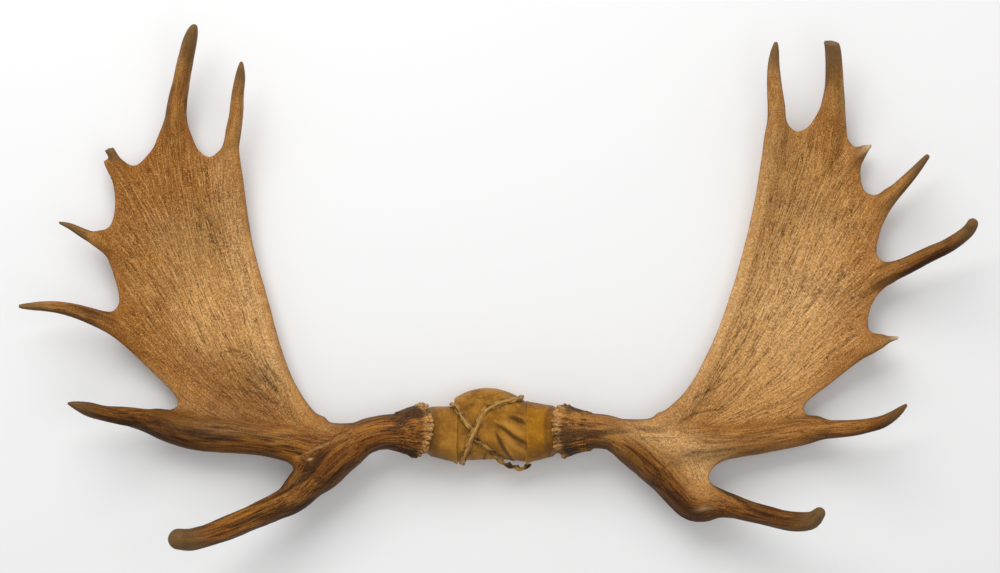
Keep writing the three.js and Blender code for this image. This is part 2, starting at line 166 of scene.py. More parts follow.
floor_mesh = bpy.data.meshes.new("floor")
floor_corners = [(x, y, -FLOOR_DROP) for x, y in
                 ((-FLOOR_HALF, -FLOOR_HALF), (FLOOR_HALF, -FLOOR_HALF),
                  (FLOOR_HALF, FLOOR_HALF), (-FLOOR_HALF, FLOOR_HALF))]
floor_mesh.from_pydata(floor_corners, [], [(0, 1, 2, 3)])
floor = bpy.data.objects.new("floor", floor_mesh)
bpy.context.scene.collection.objects.link(floor)
floor_mesh.materials.append(new_material("floor_paint"))
finish_surface(paint(236, 236, 236), 0.9)


def soft_light(name, place, aim, size, power):
    """A square area light that looks from its place to a point."""
    light = bpy.data.lights.new(name, "AREA")
    light.size = size
    light.energy = power
    lamp = bpy.data.objects.new(name, light)
    lamp.location = place
    lamp.rotation_euler = (Vector(place) - Vector(aim)).to_track_quat("Z", "Y").to_euler()
    bpy.context.scene.collection.objects.link(lamp)


soft_light("key", (-0.8, 2.4, 2.8), (0.0, 0.2, 0.0), 2.4, 92)
soft_light("fill", (0.9, -0.2, 3.6), (0.0, 0.2, 0.0), 2.5, 22)

world = bpy.data.worlds.new("studio")
bpy.context.scene.world = world
world.use_nodes = True
world.node_tree.nodes["Background"].inputs["Color"].default_value = (1, 1, 1, 1)
world.node_tree.nodes["Background"].inputs["Strength"].default_value = 0.5


# ---- Antlers -----------------------------------------------------------------------------
# Each antler is one piece of bone that grew out of its pedicle: a burr ringed with beads, a
# ridged beam, a fork, and a dished palm that runs out into tines. Each is one closed skin round
# the sum of tapering round forms and a bent blade, in millimetres until it becomes a mesh.

MM = 0.001
FINE_STEP = 1.6
COARSE_STEP = 2.85
FINE_X = (88, 150)
FINE_Y = (-42, 44)
FINE_Z = (0, 90)
FINE_EASE = 15
TICK_SAMPLES = 4000
LATTICE_BLOCK = 4
LATTICE_MARGIN = 12

BURR_TILT = math.radians(20)
BURR_CENTRE = (103.0, 1.0, 46.0)
BURR_PROFILE = [(-9, 31), (0, 33), (5, 36), (9, 37), (15, 34.5), (22, 31.5), (31, 28.3)]
BURR_FACE = 7
BURR_RIM = 38.5
BURR_ROOM = 110
BURR_BEADS = 38
BEAD_SIZE = 3.3
BEAD_TILT = math.radians(29)
BEAD_BLEND = 1.0
BEAD_MIDDLE_RADIUS = 35.0
BEAD_END_RADIUS = 27.5

BREAK_REACH = 24.0
BREAK_ROUGHNESS = 1.6
BREAK_GRAIN = 3.5
PALM_BELLY = 8.0
PALM_LENGTH_RADIUS = 900.0
PALM_WIDTH_RADIUS = 190.0
PALM_CUP_START = -330.0
PALM_CUP_WHOLE = -60.0
PALM_EDGE_HALF = 4.6
PALM_MIDDLE_HALF = 7.3
PALM_EDGE_WIDTH = 45.0
FORK_STEMS = ("brow", "second")
FORK_BLEND = 16.0
PALM_BLEND = 20.0
TINE_BLEND = 9.0

# A station is (x, y, radius, height), and without a height it lies on the palm's middle.
LEFT = {
    "name": "left_antler", "side": -1, "seed": 11, "lean": 0.14,
    "palm": ((-443, 246), (-140, 450)), "root": (-285, -5),
    "dark": {"beam": 1.0, "brow": 0.95, "second": 1.0, "third": 0.5, "fourth": 0.4, "stub": 0.3,
             "top_outer": 0.4},
    "beam": [(-142, 0, 26.9, 58), (-163, -1, 25.6, 61), (-183, -6, 25.4, 63),
             (-204, -16, 26.6, 63), (-228, -32, 28.1, 63), (-251, -53, 28.1, 63)],
    "tines": {
        "brow": [(-219, -27, 25.9, 63), (-248, -53, 28.1, 62), (-276, -78, 27.1, 64),
                 (-297, -99, 22.6, 70), (-321, -111, 19.7, 81), (-352, -124, 17.9, 100),
                 (-382, -136, 17.4, 124), (-410, -145, 16.2, 148), (-434, -150, 16.2, 171),
                 (-450, -148, 15.2, 188)],
        "second": [(-217, -21, 25.1, 62), (-251, -27, 25.9, 60), (-306, -16, 22.9),
                   (-374, -7, 21.2), (-429, -3, 21.5), (-464, 4, 20.4, 49),
                   (-495, 12, 18, 55), (-523, 20, 15.5, 64), (-550, 25, 13.1, 76),
                   (-571, 29, 11.3, 87), (-588, 34, 11.1, 96), (-600, 38, 8.8, 104),
                   (-611, 42, 5.4, 111), (-618, 44, 2.5, 115)],
        "third": [(-341, 10, 7), (-423, 40, 6), (-479, 87, 7), (-525, 127, 10),
                  (-548, 148, 12.6), (-567, 161, 13.9, 61), (-586, 169, 12.4, 69),
                  (-610, 178, 10.6, 79), (-635, 184, 8.8, 89), (-656, 186, 7.3, 98),
                  (-674, 186, 5.7, 105), (-690, 186, 3.2, 111)],
        "fourth": [(-436, 98, 5), (-503, 188, 5), (-553, 258, 7), (-576, 278, 9),
                   (-590, 286, 8.3, 52), (-607, 295, 6.7, 59), (-623, 304, 4.7, 67),
                   (-637, 309, 2.2, 73)],
        "stub": [(-482, 262, 5), (-518, 332, 5), (-544, 374, 6.5), (-554, 394, 7.4, 38),
                 (-562, 408, 6.9, 44), (-573, 428, 6.9, 53)],
        "top_outer": [(-383, 83, 5), (-433, 195, 5), (-457, 292, 5), (-469, 382, 8),
                      (-472, 434, 14.5), (-471, 464, 15.9, 36), (-466, 495, 14, 45),
                      (-459, 524, 12, 57), (-452, 551, 11.2, 70), (-445, 574, 10.6, 84),
                      (-440, 588, 8.4, 93), (-437, 595, 5.3, 98)],
        "top_inner": [(-217, -12, 22.2, 60), (-262, 4, 17, 58), (-303, 60, 11),
                      (-330, 131, 9), (-352, 210, 7), (-370, 285, 7), (-386, 403, 9),
                      (-384, 436, 11.4, 55), (-378, 471, 10.5, 65), (-375, 499, 9.3, 73),
                      (-371, 521, 8, 81), (-369, 535, 5.4, 89), (-368, 543, 2.9, 93)],
    },
    "outline": [(-245, 15), (-264, 27), (-285, 55), (-310, 111), (-332, 189), (-357, 280),
                (-373, 400), (-378, 425), (-384, 442), (-393, 431), (-403, 419), (-420, 408),
                (-436, 417), (-447, 440), (-458, 466), (-468, 484), (-479, 468), (-493, 449),
                (-507, 419), (-531, 396), (-551, 401), (-563, 402), (-576, 402), (-574, 393),
                (-564, 368), (-561, 334), (-568, 304), (-586, 296), (-592, 281), (-573, 262),
                (-558, 220), (-553, 192), (-562, 177), (-580, 165), (-566, 148), (-549, 133),
                (-505, 88), (-477, 60), (-467, 41),
                (-476, 29), (-498, 28), (-502, 12), (-481, -11), (-425, -25), (-336, -28),
                (-307, -38), (-285, -45), (-262, -35)],
    "ribs": [[(-341, 10, 13.4), (-423, 40, 13.4), (-479, 87, 12.6), (-525, 127, 13.1),
              (-548, 148, 13.6)],
             [(-341, 14, 9), (-436, 98, 9), (-503, 188, 9), (-553, 258, 9.7), (-580, 280, 9.6)],
             [(-350, 30, 9), (-420, 140, 9), (-482, 262, 9), (-518, 332, 9.7), (-544, 374, 11.2),
              (-558, 393, 11.9)],
             [(-340, 30, 10), (-383, 83, 10.4), (-433, 195, 9), (-457, 292, 9.7),
              (-469, 382, 11.9), (-472, 434, 14.5)],
             [(-262, 4, 17), (-303, 60, 15), (-330, 131, 14.1), (-352, 210, 13.4),
              (-370, 285, 11.9), (-382, 351, 11.9), (-386, 403, 12.3)],
             [(-306, -16, 22.9), (-374, -7, 21.2), (-429, -3, 21.5)]],
    "stains": [(-545, 280, 150, 60, 80, 1.0), (-505, 390, 80, 50, 160, 1.0),
               (-425, 78, 90, 30, 140, 0.8), (-490, 120, 80, 26, 135, 0.8),
               (-450, 440, 80, 50, 90, 0.8), (-525, 150, 100, 30, 48, 0.9),
               (-345, 40, 70, 34, 140, 0.8)],
    # Spots of painted shade, mostly along the tines' lower edges: (x, y, half length, half width,
    # turn, strength).
    "painted_shade": [(-490, 10, 130, 30, 2, 0.75), (-596, 36, 50, 26, 15, 0.5),
              (-400, -28, 90, 14, 178, 0.3), (-370, 60, 80, 40, 150, 0.2),
              (-300, -100, 60, 20, 130, 0.35)],
    "grey": [(-452, 292, 80, 26, 175, 0.9), (-410, 330, 60, 22, 10, 0.5), (-446, 575, 34, 22, 80, 1.0),
             (-371, 530, 26, 14, 90, 0.9), (-350, 75, 46, 28, 20, 0.6), (-470, 235, 60, 14, 20, 0.4)],
    "worn": [(-481, -155, 6, 3, 100, 0.9), (-268, -39, 4, 1.5, 15, 0.8),
             (-255, -22, 34, 1.4, 25, 0.22)],
    # Pale spots: paler bone, and a painted highlight along the palm's inner edge.
    "pale": [(-373, 260, 190, 18, 102, 0.9), (-330, 120, 90, 14, 113, 0.9),
             (-380, 5, 80, 14, 178, 0.35),
             (-420, 180, 110, 60, 100, 0.5), (-560, 416, 14, 12, 60, 0.6)],
    "deep": [(-590, 34, 60, 30, 10, 0.9), (-470, -22, 90, 12, 5, 0.9),
             (-350, -34, 70, 12, 175, 0.9), (-380, 66, 90, 46, 150, 0.3)],
    "broken": [((-568.5, 419, 48), (-0.25, 0.92, 0.3))],
    "veins": [[(-300, 61), (-336, 97), (-357, 121), (-385, 128)],
              [(-318, 41), (-357, 58), (-391, 64), (-427, 79)],
              [(-321, 61), (-346, 90), (-375, 118), (-419, 113)],
              [(-330, 48), (-372, 84), (-398, 92)], [(-345, 72), (-362, 104), (-392, 118)]],
}

RIGHT = {
    "name": "right_antler", "side": 1, "seed": 29, "lean": 0.03,
    "palm": ((455, 232), (180, 450)), "root": (285, -5),
    "dark": {"beam": 0.8, "brow": 0.9, "second": 0.75, "fourth": 0.6, "fifth": 0.4},
    "beam": [(142, 1, 26.7, 58), (160, 1, 25.2, 61), (179, -3, 24.9, 62),
             (198, -12, 25.9, 63), (219, -27, 27.4, 63), (240, -46, 27.4, 62)],
    "tines": {
        "brow": [(210, -21, 25.9, 63), (241, -47, 25.9, 61), (270, -80, 25.2, 60),
                 (293, -104, 24.4, 60), (311, -109, 23.7, 63), (331, -105, 21.6, 69),
                 (354, -108, 17.4, 79), (379, -115, 15, 96), (404, -120, 14.5, 116),
                 (426, -125, 14, 137), (446, -126, 13.9, 156), (462, -122, 12.5, 173),
                 (471, -111, 8.9, 188)],
        "second": [(210, -13, 23.7, 62), (249, -16, 25.9, 61), (301, -16, 23.7),
                   (361, -15, 19.6), (420, -6, 18.1), (454, 0, 17.8), (478, 3, 15.8, 52),
                   (507, 4, 13.7, 61), (532, 6, 12.1, 71), (553, 10, 10.4, 81),
                   (573, 16, 9.2, 92), (589, 26, 7.3, 102), (599, 35, 5.1, 110),
                   (605, 41, 2.8, 114)],
        "third": [(377, 31, 6), (451, 52, 6), (502, 87, 8), (540, 117, 11),
                  (558, 127, 11.8), (574, 133, 8, 64), (587, 137, 4.9, 68),
                  (598, 139, 2.5, 71)],
        "fourth": [(362, 39, 5), (430, 98, 5), (497, 165, 6), (540, 200, 11),
                   (569, 223, 14.5, 44), (592, 236, 14.1, 55), (616, 247, 12.7, 67),
                   (642, 261, 11.8, 82), (667, 273, 10.9, 96), (685, 286, 10, 110),
                   (696, 297, 9.3, 122), (700, 306, 8.4, 132)],
        "fifth": [(408, 94, 5), (483, 180, 5), (542, 267, 6), (568, 313, 11.9),
                  (582, 337, 11.4, 40), (599, 356, 10.1, 50), (616, 375, 8.4, 61),
                  (630, 392, 6.3, 71), (641, 406, 4, 80)],
        "sixth": [(476, 322, 5), (508, 370, 5), (532, 398, 8), (548, 413, 7.4, 36),
                  (562, 424, 2.2, 44)],
        "top_outer": [(385, 98, 5), (439, 188, 5), (472, 277, 5), (493, 371, 8),
                      (501, 426, 13.4), (505, 463, 16.1, 40), (507, 491, 16.3, 48),
                      (507, 515, 14.1, 59), (505, 541, 13, 72), (502, 563, 11.9, 84),
                      (498, 575, 10.3, 91)],
        "top_inner": [(207, -7, 22.2, 60), (257, 6, 18.5, 58), (299, 48, 11),
                      (330, 110, 8), (357, 174, 6), (381, 240, 6), (413, 381, 8),
                      (419, 432, 13.3), (421, 465, 13.4, 61), (419, 493, 11.8, 67),
                      (416, 520, 10.2, 74), (415, 543, 8.5, 82), (416, 560, 6.3, 90),
                      (417, 571, 3.5, 95)],
    },
    "outline": [(242, 20), (260, 33), (287, 58), (312, 94), (337, 146), (364, 228),
                (386, 317), (398, 391), (404, 440), (410, 464), (419, 481), (428, 467),
                (438, 455), (453, 445), (471, 454), (484, 474), (495, 494), (507, 509),
                (518, 490), (526, 460), (530, 435), (542, 422), (555, 424), (555, 413),
                (549, 386), (555, 358), (572, 351), (588, 361), (598, 361), (596, 345),
                (583, 316), (572, 270), (579, 254), (596, 249), (606, 241), (596, 226),
                (579, 212), (562, 183), (559, 151), (578, 142), (580, 129), (548, 109),
                (502, 70), (468, 42), (466, 22), (484, 19), (487, 3), (470, -13), (427, -24),
                (360, -35), (336, -45), (323, -59), (321, -75), (330, -92), (300, -92),
                (262, -45)],
    "ribs": [[(301, -16, 23.7), (361, -15, 19.6), (420, -6, 18.1), (454, 0, 17.8)],
             [(320, 0, 13), (377, 31, 13.4), (451, 52, 12.7), (502, 87, 12.6), (540, 117, 12.9),
              (558, 127, 11.8)],
             [(325, 10, 11), (362, 39, 11.9), (430, 98, 10.5), (497, 165, 11.2), (550, 209, 13.4)],
             [(340, 30, 9), (408, 94, 9), (483, 180, 9), (542, 267, 10.4), (568, 313, 11.9)],
             [(350, 40, 8), (420, 200, 8), (476, 322, 9), (508, 370, 9.7), (532, 398, 9.7)],
             [(330, 40, 10), (385, 98, 10.5), (439, 188, 9), (472, 277, 9), (493, 371, 11.2),
              (501, 426, 13.4)],
             [(257, 6, 18), (299, 48, 16.5), (330, 110, 14.9), (357, 174, 14.2), (381, 240, 13.9),
              (401, 314, 13.4), (413, 381, 13.4), (419, 432, 13.3)]],
    "stains": [(545, 230, 90, 24, 80, 0.7), (540, 360, 60, 22, 80, 0.8), (500, 440, 60, 26, 90, 0.7),
               (420, 470, 40, 16, 100, 0.5), (390, 10, 110, 22, 0, 0.7), (520, 100, 60, 16, 35, 0.7)],
    "grey": [(506, 560, 44, 24, 90, 1.0), (416, 562, 20, 14, 90, 1.0), (690, 290, 36, 20, 50, 1.0),
             (636, 396, 26, 14, 50, 0.9), (470, 330, 50, 14, 165, 0.6), (500, 210, 60, 16, 160, 0.6),
             (440, 370, 30, 60, 0, 0.3), (280, 35, 40, 12, 50, 0.6)],
    "worn": [(600, 140, 12, 5, 10, 0.7), (560, 423, 12, 6, 40, 0.7), (491, -118, 8, 5, 60, 0.5),
             (312, -112, 12, 4, 10, 0.25)],
    # Spots of painted shade, mostly along the tines' lower edges: (x, y, half length, half width,
    # turn, strength).
    "painted_shade": [(262, -78, 70, 13, 133, 0.6), (400, -124, 80, 12, 170, 0.2),
              (360, -34, 100, 14, 5, 0.4), (590, 24, 30, 16, 40, 0.5),
              (655, 262, 60, 7, 30, 0.6)],
    # Pale spots: paler bone, and a painted highlight along the palm's inner edge.
    "pale": [(372, 300, 170, 26, 75, 0.8), (330, 140, 110, 20, 65, 0.6),
             (440, 190, 130, 80, 65, 0.9), (290, -25, 75, 34, 145, 0.6),
             (230, -4, 60, 18, 165, 0.6), (330, -45, 50, 30, 0, 0.5)],
    "deep": [(250, -70, 60, 12, 130, 0.9), (585, 10, 40, 16, 30, 0.6),
             (400, -128, 60, 12, 170, 0.5), (655, 262, 60, 7, 30, 0.8)],
    "broken": [((501, 573, 90), (0.12, 0.9, 0.4))],
    "veins": [[(300, 50), (336, 66), (372, 92)], [(345, 90), (380, 142), (402, 200)],
              [(272, 10), (300, 26), (350, 34)], [(270, 4), (296, 8), (340, 8)]],
}


def smooth_path(points, step, closed=False):
    """Catmull-Rom curve through rows of numbers, sampled about every step along it.

    The first two or three columns are the place; further columns ride along."""
    rows = np.array(points, float)
    if closed:
        rows = np.concatenate([rows[-1:], rows, rows[:2]])
    else:
        rows = np.concatenate([2 * rows[:1] - rows[1:2], rows, 2 * rows[-1:] - rows[-2:-1]])
    sampled = []
    for p0, p1, p2, p3 in zip(rows, rows[1:], rows[2:], rows[3:]):
        count = max(2, int(np.ceil(np.linalg.norm((p2 - p1)[:3]) / step)))
        t = (np.arange(count) / count)[:, None]
        sampled.append(0.5 * (2 * p1 + (p2 - p0) * t + (2 * p0 - 5 * p1 + 4 * p2 - p3) * t ** 2
                              + (3 * p1 - 3 * p2 + p3 - p0) * t ** 3))
    if not closed:
        sampled.append(rows[-2:-1])
    return np.concatenate(sampled)


def smoothstep(value, low, high):
    """0 below low, 1 above high, and an S curve between."""
    share = np.clip((value - low) / (high - low), 0, 1)
    return share * share * (3 - 2 * share)


def value_noise(x, y, seed, around=None):
    """Smooth random values from 0 to 1 on unit cells; y repeats after `around` cells."""
    table = np.random.default_rng(seed).random((256, 256)).astype(np.float32)
    cell_x, cell_y = np.floor(x).astype(int), np.floor(y).astype(int)
    tx, ty = x - cell_x, y - cell_y
    tx, ty = tx * tx * (3 - 2 * tx), ty * ty * (3 - 2 * ty)
    turns = around or 256
    x0, x1 = cell_x % 256, (cell_x + 1) % 256
    y0, y1 = cell_y % turns, (cell_y + 1) % turns
    low = table[x0, y0] * (1 - tx) + table[x1, y0] * tx
    high = table[x0, y1] * (1 - tx) + table[x1, y1] * tx
    return low * (1 - ty) + high * ty


def solid_noise(places, size, seed):
    """Smooth random values from 0 to 1 in space, as the mean of three turned planes."""
    x, y, z = (places / size).T
    return (value_noise(x + 0.5 * z, y - 0.3 * z, seed)
            + value_noise(y + 0.6 * x, z + 0.4 * x, seed + 1)
            + value_noise(z - 0.5 * y, x + 0.4 * y, seed + 2)) / 3


def blend(first, second, width):
    """The lower of two distances, rounded where they are within a width of each other."""
    near = np.maximum(width - np.abs(first - second), 0) / width
    return np.minimum(first, second) - near * near * width / 4


def unit(rows):
    """Rows scaled to length one."""
    return rows / np.maximum(np.linalg.norm(rows, axis=-1, keepdims=True), 1e-9)


class Form:
    """A round form that tapers along a smooth path.

    A coarse grid round it remembers the nearest leg of the path, so a point is measured only
    against that leg and its neighbours."""

    REACH = 45.0
    CELL = 8.0

    def __init__(self, stations, step=7.0):
        samples = smooth_path([(x, y, z, r) for x, y, r, z in stations], step)
        self.places, self.radii = samples[:, :3], samples[:, 3]
        self.legs, self.tapers = np.diff(self.places, axis=0), np.diff(self.radii)
        self.squares = np.einsum("ij,ij->i", self.legs, self.legs)
        self.lengths = np.sqrt(self.squares)
        self.along = np.concatenate([[0], np.cumsum(self.lengths)])
        reach = self.radii.max() + self.REACH
        self.low, self.high = self.places.min(0) - reach, self.places.max(0) + reach
        counts = np.ceil((self.high - self.low) / self.CELL).astype(int) + 1
        cells = np.stack(np.meshgrid(*(np.arange(n) for n in counts), indexing="ij"), axis=-1)
        centres = self.low + (cells.reshape(-1, 3) + 0.5) * self.CELL
        least = np.full(len(centres), np.inf)
        self.nearest = np.zeros(len(centres), int)
        for leg in range(len(self.legs)):
            away = self.to_leg(centres, leg)[0]
            self.nearest[away < least] = leg
            least = np.minimum(away, least)
        self.nearest = self.nearest.reshape(counts)
        tangents = unit(np.gradient(self.places, axis=0))
        side = unit(np.cross(tangents[0], (0.1, 0.3, 1.0)))
        sides = []
        for tangent in tangents:
            side = unit(side - (side @ tangent) * tangent)
            sides.append(side)
        self.sides = np.array(sides)
        self.ups = np.cross(tangents, self.sides)

    def to_leg(self, points, leg):
        """Distance to one leg's cone, with the share of the leg at which it is met."""
        gap = points - self.places[leg]
        step = self.legs[leg]
        share = np.clip(np.sum(gap * step, axis=1) / self.squares[leg], 0, 1)
        gap -= share[:, None] * step
        away = np.sqrt(np.einsum("ij,ij->i", gap, gap))
        return away - self.radii[leg] - share * self.tapers[leg], share

    def measure(self, points):
        """Distance, leg and share for points inside the form's reach."""
        first = self.nearest[tuple(((points - self.low) / self.CELL).astype(int).T)]
        best = np.full(len(points), np.inf)
        leg_of, share_of = first, np.zeros(len(points))
        for shift in (0, -1, 1, -2, 2):
            leg = np.clip(first + shift, 0, len(self.legs) - 1)
            away, share = self.to_leg(points, leg)
            nearer = away < best
            best = np.where(nearer, away, best)
            leg_of = np.where(nearer, leg, leg_of)
            share_of = np.where(nearer, share, share_of)
        return best, leg_of, share_of

    def within(self, points):
        """Which points lie inside the box that the form's grid covers."""
        return np.all((points > self.low) & (points < self.high), axis=1)

    def distance(self, points):
        """Distance to the form, or its reach where a point is far off."""
        near = self.within(points)
        result = np.full(len(points), self.REACH)
        result[near] = self.measure(points[near])[0]
        return result

    def around(self, points):
        """Distance along the path, share of a turn round it, the radius there, and the offsets
        from the path along its own two cross directions."""
        _, leg, share = self.measure(points)
        gap = points - self.places[leg] - share[:, None] * self.legs[leg]
        blend_to = share[:, None]
        side = self.sides[leg] * (1 - blend_to) + self.sides[leg + 1] * blend_to
        up = self.ups[leg] * (1 - blend_to) + self.ups[leg + 1] * blend_to
        aside, above = np.sum(gap * side, axis=1), np.sum(gap * up, axis=1)
        return (self.along[leg] + share * self.lengths[leg],
                np.arctan2(above, aside) / (2 * np.pi) % 1,
                self.radii[leg] + share * self.tapers[leg], aside, above)


class Blade:
    """The palm: a sheet with a scalloped outline and round edges, bowed and cupped, with soft
    ribs that run out to the tines. Plan distance, rise of the ribs and direction of growth are
    kept on a grid in plan."""

    STEP = 3.0
    MARGIN = 70
    EDGE_STEP = 5.0
    RIB_STEP = 8.0
    RIB_RISE = 0.16
    BACK_RISE = 0.3
    FLOW_SOFTNESS = 150
    TRACE_STEP = 7.0
    TRACE_STEPS = 90
    ROOT_REACH = 90
    ROOT_ARC = 250
    SMOOTHINGS = 18

    def __init__(self, centre, axis, outline, ribs, root):
        self.centre = np.array(centre, float)
        self.axis = unit(np.array(axis, float))
        self.across = np.array([self.axis[1], -self.axis[0]])
        self.edge = smooth_path(outline, self.EDGE_STEP, closed=True)
        self.low = self.edge.min(0) - self.MARGIN
        high = self.edge.max(0) + self.MARGIN
        counts = np.ceil((high - self.low) / self.STEP).astype(int) + 1
        grid = np.stack(np.meshgrid(*(np.arange(n) * self.STEP for n in counts), indexing="ij"),
                        axis=-1).reshape(-1, 2) + self.low
        plan = self.outline_distance(grid)
        rise = np.zeros(len(grid))
        flow = np.zeros((len(grid), 2))
        for rib in ribs:
            path = smooth_path(rib, self.RIB_STEP)
            ways = unit(np.gradient(path[:, :2], axis=0))
            gaps = np.linalg.norm(grid[:, None] - path[None, :, :2], axis=2)
            nearest = gaps.argmin(axis=1)
            gap, width = gaps.min(axis=1), path[nearest, 2]
            rise = np.maximum(rise, self.RIB_RISE * width * np.exp(-(gap / width) ** 2))
            flow += ways[nearest] / (gap[:, None] ** 2 + self.FLOW_SOFTNESS)
        self.grid = np.column_stack([plan, rise, unit(flow)]).reshape(*counts, 4)
        traced = self.traced_back(grid, root).reshape(*counts, 2)
        for _ in range(self.SMOOTHINGS):
            for axis in (0, 1):
                traced = (np.roll(traced, 1, axis) + 2 * traced + np.roll(traced, -1, axis)) / 4
        spread = np.hypot(*np.gradient(traced[..., 1], self.STEP))
        self.traced = np.concatenate([traced, spread[..., None]], axis=2)

    def outline_distance(self, points):
        """Distance to the outline in plan, negative inside, by crossings of a ray along X."""
        best = np.full(len(points), np.inf)
        inside = np.zeros(len(points), bool)
        for a, b in zip(self.edge, np.roll(self.edge, -1, axis=0)):
            leg = b - a
            share = np.clip((points - a) @ leg / (leg @ leg), 0, 1)
            gap = points - a - share[:, None] * leg
            best = np.minimum(best, np.einsum("ij,ij->i", gap, gap))
            spans = (a[1] > points[:, 1]) != (b[1] > points[:, 1])
            if a[1] != b[1]:
                crossing = a[0] + (points[:, 1] - a[1]) * leg[0] / leg[1]
                inside ^= spans & (points[:, 0] < crossing)
        return np.sqrt(best) * np.where(inside, -1, 1)

    def read(self, points):
        """The four kept values (plan distance, rise, growth in x and in y) between grid points."""
        return self.between(self.grid, points)

    def between(self, grid, points):
        """Values of a grid at points in plan, in proportion to their four nearest grid points."""
        place = (points[:, :2] - self.low) / self.STEP
        place = np.clip(place, 0, np.array(grid.shape[:2]) - 1.001)
        cell = place.astype(int)
        tx, ty = (place - cell)[:, :1], (place - cell)[:, 1:]
        i, j = cell.T
        return ((grid[i, j] * (1 - tx) + grid[i + 1, j] * tx) * (1 - ty)
                + (grid[i, j + 1] * (1 - tx) + grid[i + 1, j + 1] * tx) * ty)

    def traced_back(self, points, root):
        """Length of the line of growth from near the root to each point, and the place where
        that line starts, as millimetres of arc in the middle of the palm."""
        place = points.copy()
        length = np.zeros(len(points))
        for _ in range(self.TRACE_STEPS):
            away = np.linalg.norm(place - root, axis=1)
            step = np.where(away > self.ROOT_REACH, self.TRACE_STEP, 0.0)
            place -= step[:, None] * unit(self.read(place)[:, 2:])
            length += step
        gap = place - root
        length += np.linalg.norm(gap, axis=1)
        turn = np.arctan2(gap[:, 1], np.abs(gap[:, 0]))
        return np.column_stack([length, self.ROOT_ARC * turn])

    def height(self, points):
        """Height of the middle surface: a long bow along the palm and a cup across it."""
        offset = points[:, :2] - self.centre
        s, t = offset @ self.axis, offset @ self.across
        share = smoothstep(s, PALM_CUP_START, PALM_CUP_WHOLE)
        return PALM_BELLY + s * s / (2 * PALM_LENGTH_RADIUS) + share * t * t / (2 * PALM_WIDTH_RADIUS)

    def distance(self, points):
        """Distance to a sheet with a round edge: across it by its slope, and out by the plan."""
        plan, rise = self.read(points)[:, :2].T
        half = PALM_EDGE_HALF + (PALM_MIDDLE_HALF - PALM_EDGE_HALF) * smoothstep(
            -plan, 0, PALM_EDGE_WIDTH)
        offset = points[:, :2] - self.centre
        s, t = offset @ self.axis, offset @ self.across
        slope = np.sqrt(1 + (s / PALM_LENGTH_RADIUS) ** 2 + (t / PALM_WIDTH_RADIUS) ** 2)
        over = (points[:, 2] - self.height(points)) / slope
        rise = rise * np.where(over > 0, 1.0, self.BACK_RISE) * smoothstep(-plan, -8, 8)
        beyond = np.maximum(plan + half, 0)
        return np.hypot(beyond, over) - half - rise


def burr_axis(side):
    """Centre of the burr and the direction in which the beam leaves it."""
    centre = np.array([side * BURR_CENTRE[0], BURR_CENTRE[1], BURR_CENTRE[2]])
    return centre, np.array([side * math.cos(BURR_TILT), 0, math.sin(BURR_TILT)])


def burr_beads(side, seed, lean):
    """Short tapering forms round the burr's rim, each running out along the beam. Their ring
    tilts more than the burr itself, so at the front it hangs over the cuff."""
    rng = np.random.default_rng(seed)
    centre, axis = burr_axis(side)
    ring = unit(np.array([side * math.cos(BEAD_TILT), lean, math.sin(BEAD_TILT)]))
    up = unit(np.array([0.0, 1.0, 0.0]) - lean * ring)
    forward = np.cross(ring, up)
    beads = []
    for number in range(BURR_BEADS):
        angle = 2 * math.pi * (number + rng.uniform(-0.22, 0.22)) / BURR_BEADS
        ray = math.cos(angle) * up + math.sin(angle) * forward
        size = BEAD_SIZE * rng.uniform(0.8, 1.15)
        start = centre + ray * (BURR_RIM + rng.uniform(-0.9, 1.6)) + axis * rng.uniform(5, 8)
        middle = centre + ray * BEAD_MIDDLE_RADIUS + axis * rng.uniform(14, 17)
        end = centre + ray * BEAD_END_RADIUS + axis * rng.uniform(34, 48)
        rows = [(*start, size), (*middle, 0.62 * size), (*end, 0.4 * size)]
        beads.append(Form([(x, y, r, z) for x, y, z, r in rows], step=9.0))
    return beads


class Antler:
    """All the forms of one antler, and the distance to its skin."""

    def __init__(self, plan):
        self.plan = plan
        self.blade = Blade(*plan["palm"], plan["outline"], plan["ribs"], plan["root"])
        centre, axis = burr_axis(plan["side"])
        burr = [(*(centre + d * axis)[:2], r, (centre + d * axis)[2]) for d, r in BURR_PROFILE]
        self.stems = {"beam": Form(burr + plan["beam"])}
        for name, stations in plan["tines"].items():
            self.stems[name] = Form([self.raised(station) for station in stations])
        self.beads = burr_beads(plan["side"], plan["seed"], plan["lean"])
        self.burr, self.axis = centre, axis

    def raised(self, station):
        """A station with its height, on the palm's middle surface where it states none."""
        if len(station) == 4:
            return station
        x, y, radius = station
        return x, y, radius, float(self.blade.height(np.array([[x, y]]))[0])

    def distance(self, points):
        """Distance to the whole antler: the thick stems blended at the fork, then the palm and
        its tines, then the beads, and the burr's face cut off square."""
        result = self.stems["beam"].distance(points)
        for name in FORK_STEMS:
            result = blend(result, self.stems[name].distance(points), FORK_BLEND)
        result = blend(result, self.blade.distance(points), PALM_BLEND)
        for name, stem in self.stems.items():
            if name != "beam" and name not in FORK_STEMS:
                result = blend(result, stem.distance(points), TINE_BLEND)
        result = np.maximum(result, -(points - self.burr) @ self.axis - BURR_FACE)
        for place, way in self.plan["broken"]:
            gap = points - np.array(place)
            near = np.linalg.norm(gap, axis=1) < BREAK_REACH
            grain = solid_noise(points[near], BREAK_GRAIN, 7)
            ragged = BREAK_ROUGHNESS * grain - BREAK_ROUGHNESS / 2
            result[near] = np.maximum(result[near], gap[near] @ unit(np.array(way)) + ragged)
        return blend(result, self.bead_distance(points), BEAD_BLEND)

    def bead_distance(self, points):
        """Distance to the nearest bead, or a form's reach where a point is far from the burr."""
        result = np.full(len(points), Form.REACH)
        near = np.linalg.norm(points - self.burr, axis=1) < BURR_ROOM
        result[near] = np.min([bead.distance(points[near]) for bead in self.beads], axis=0)
        return result


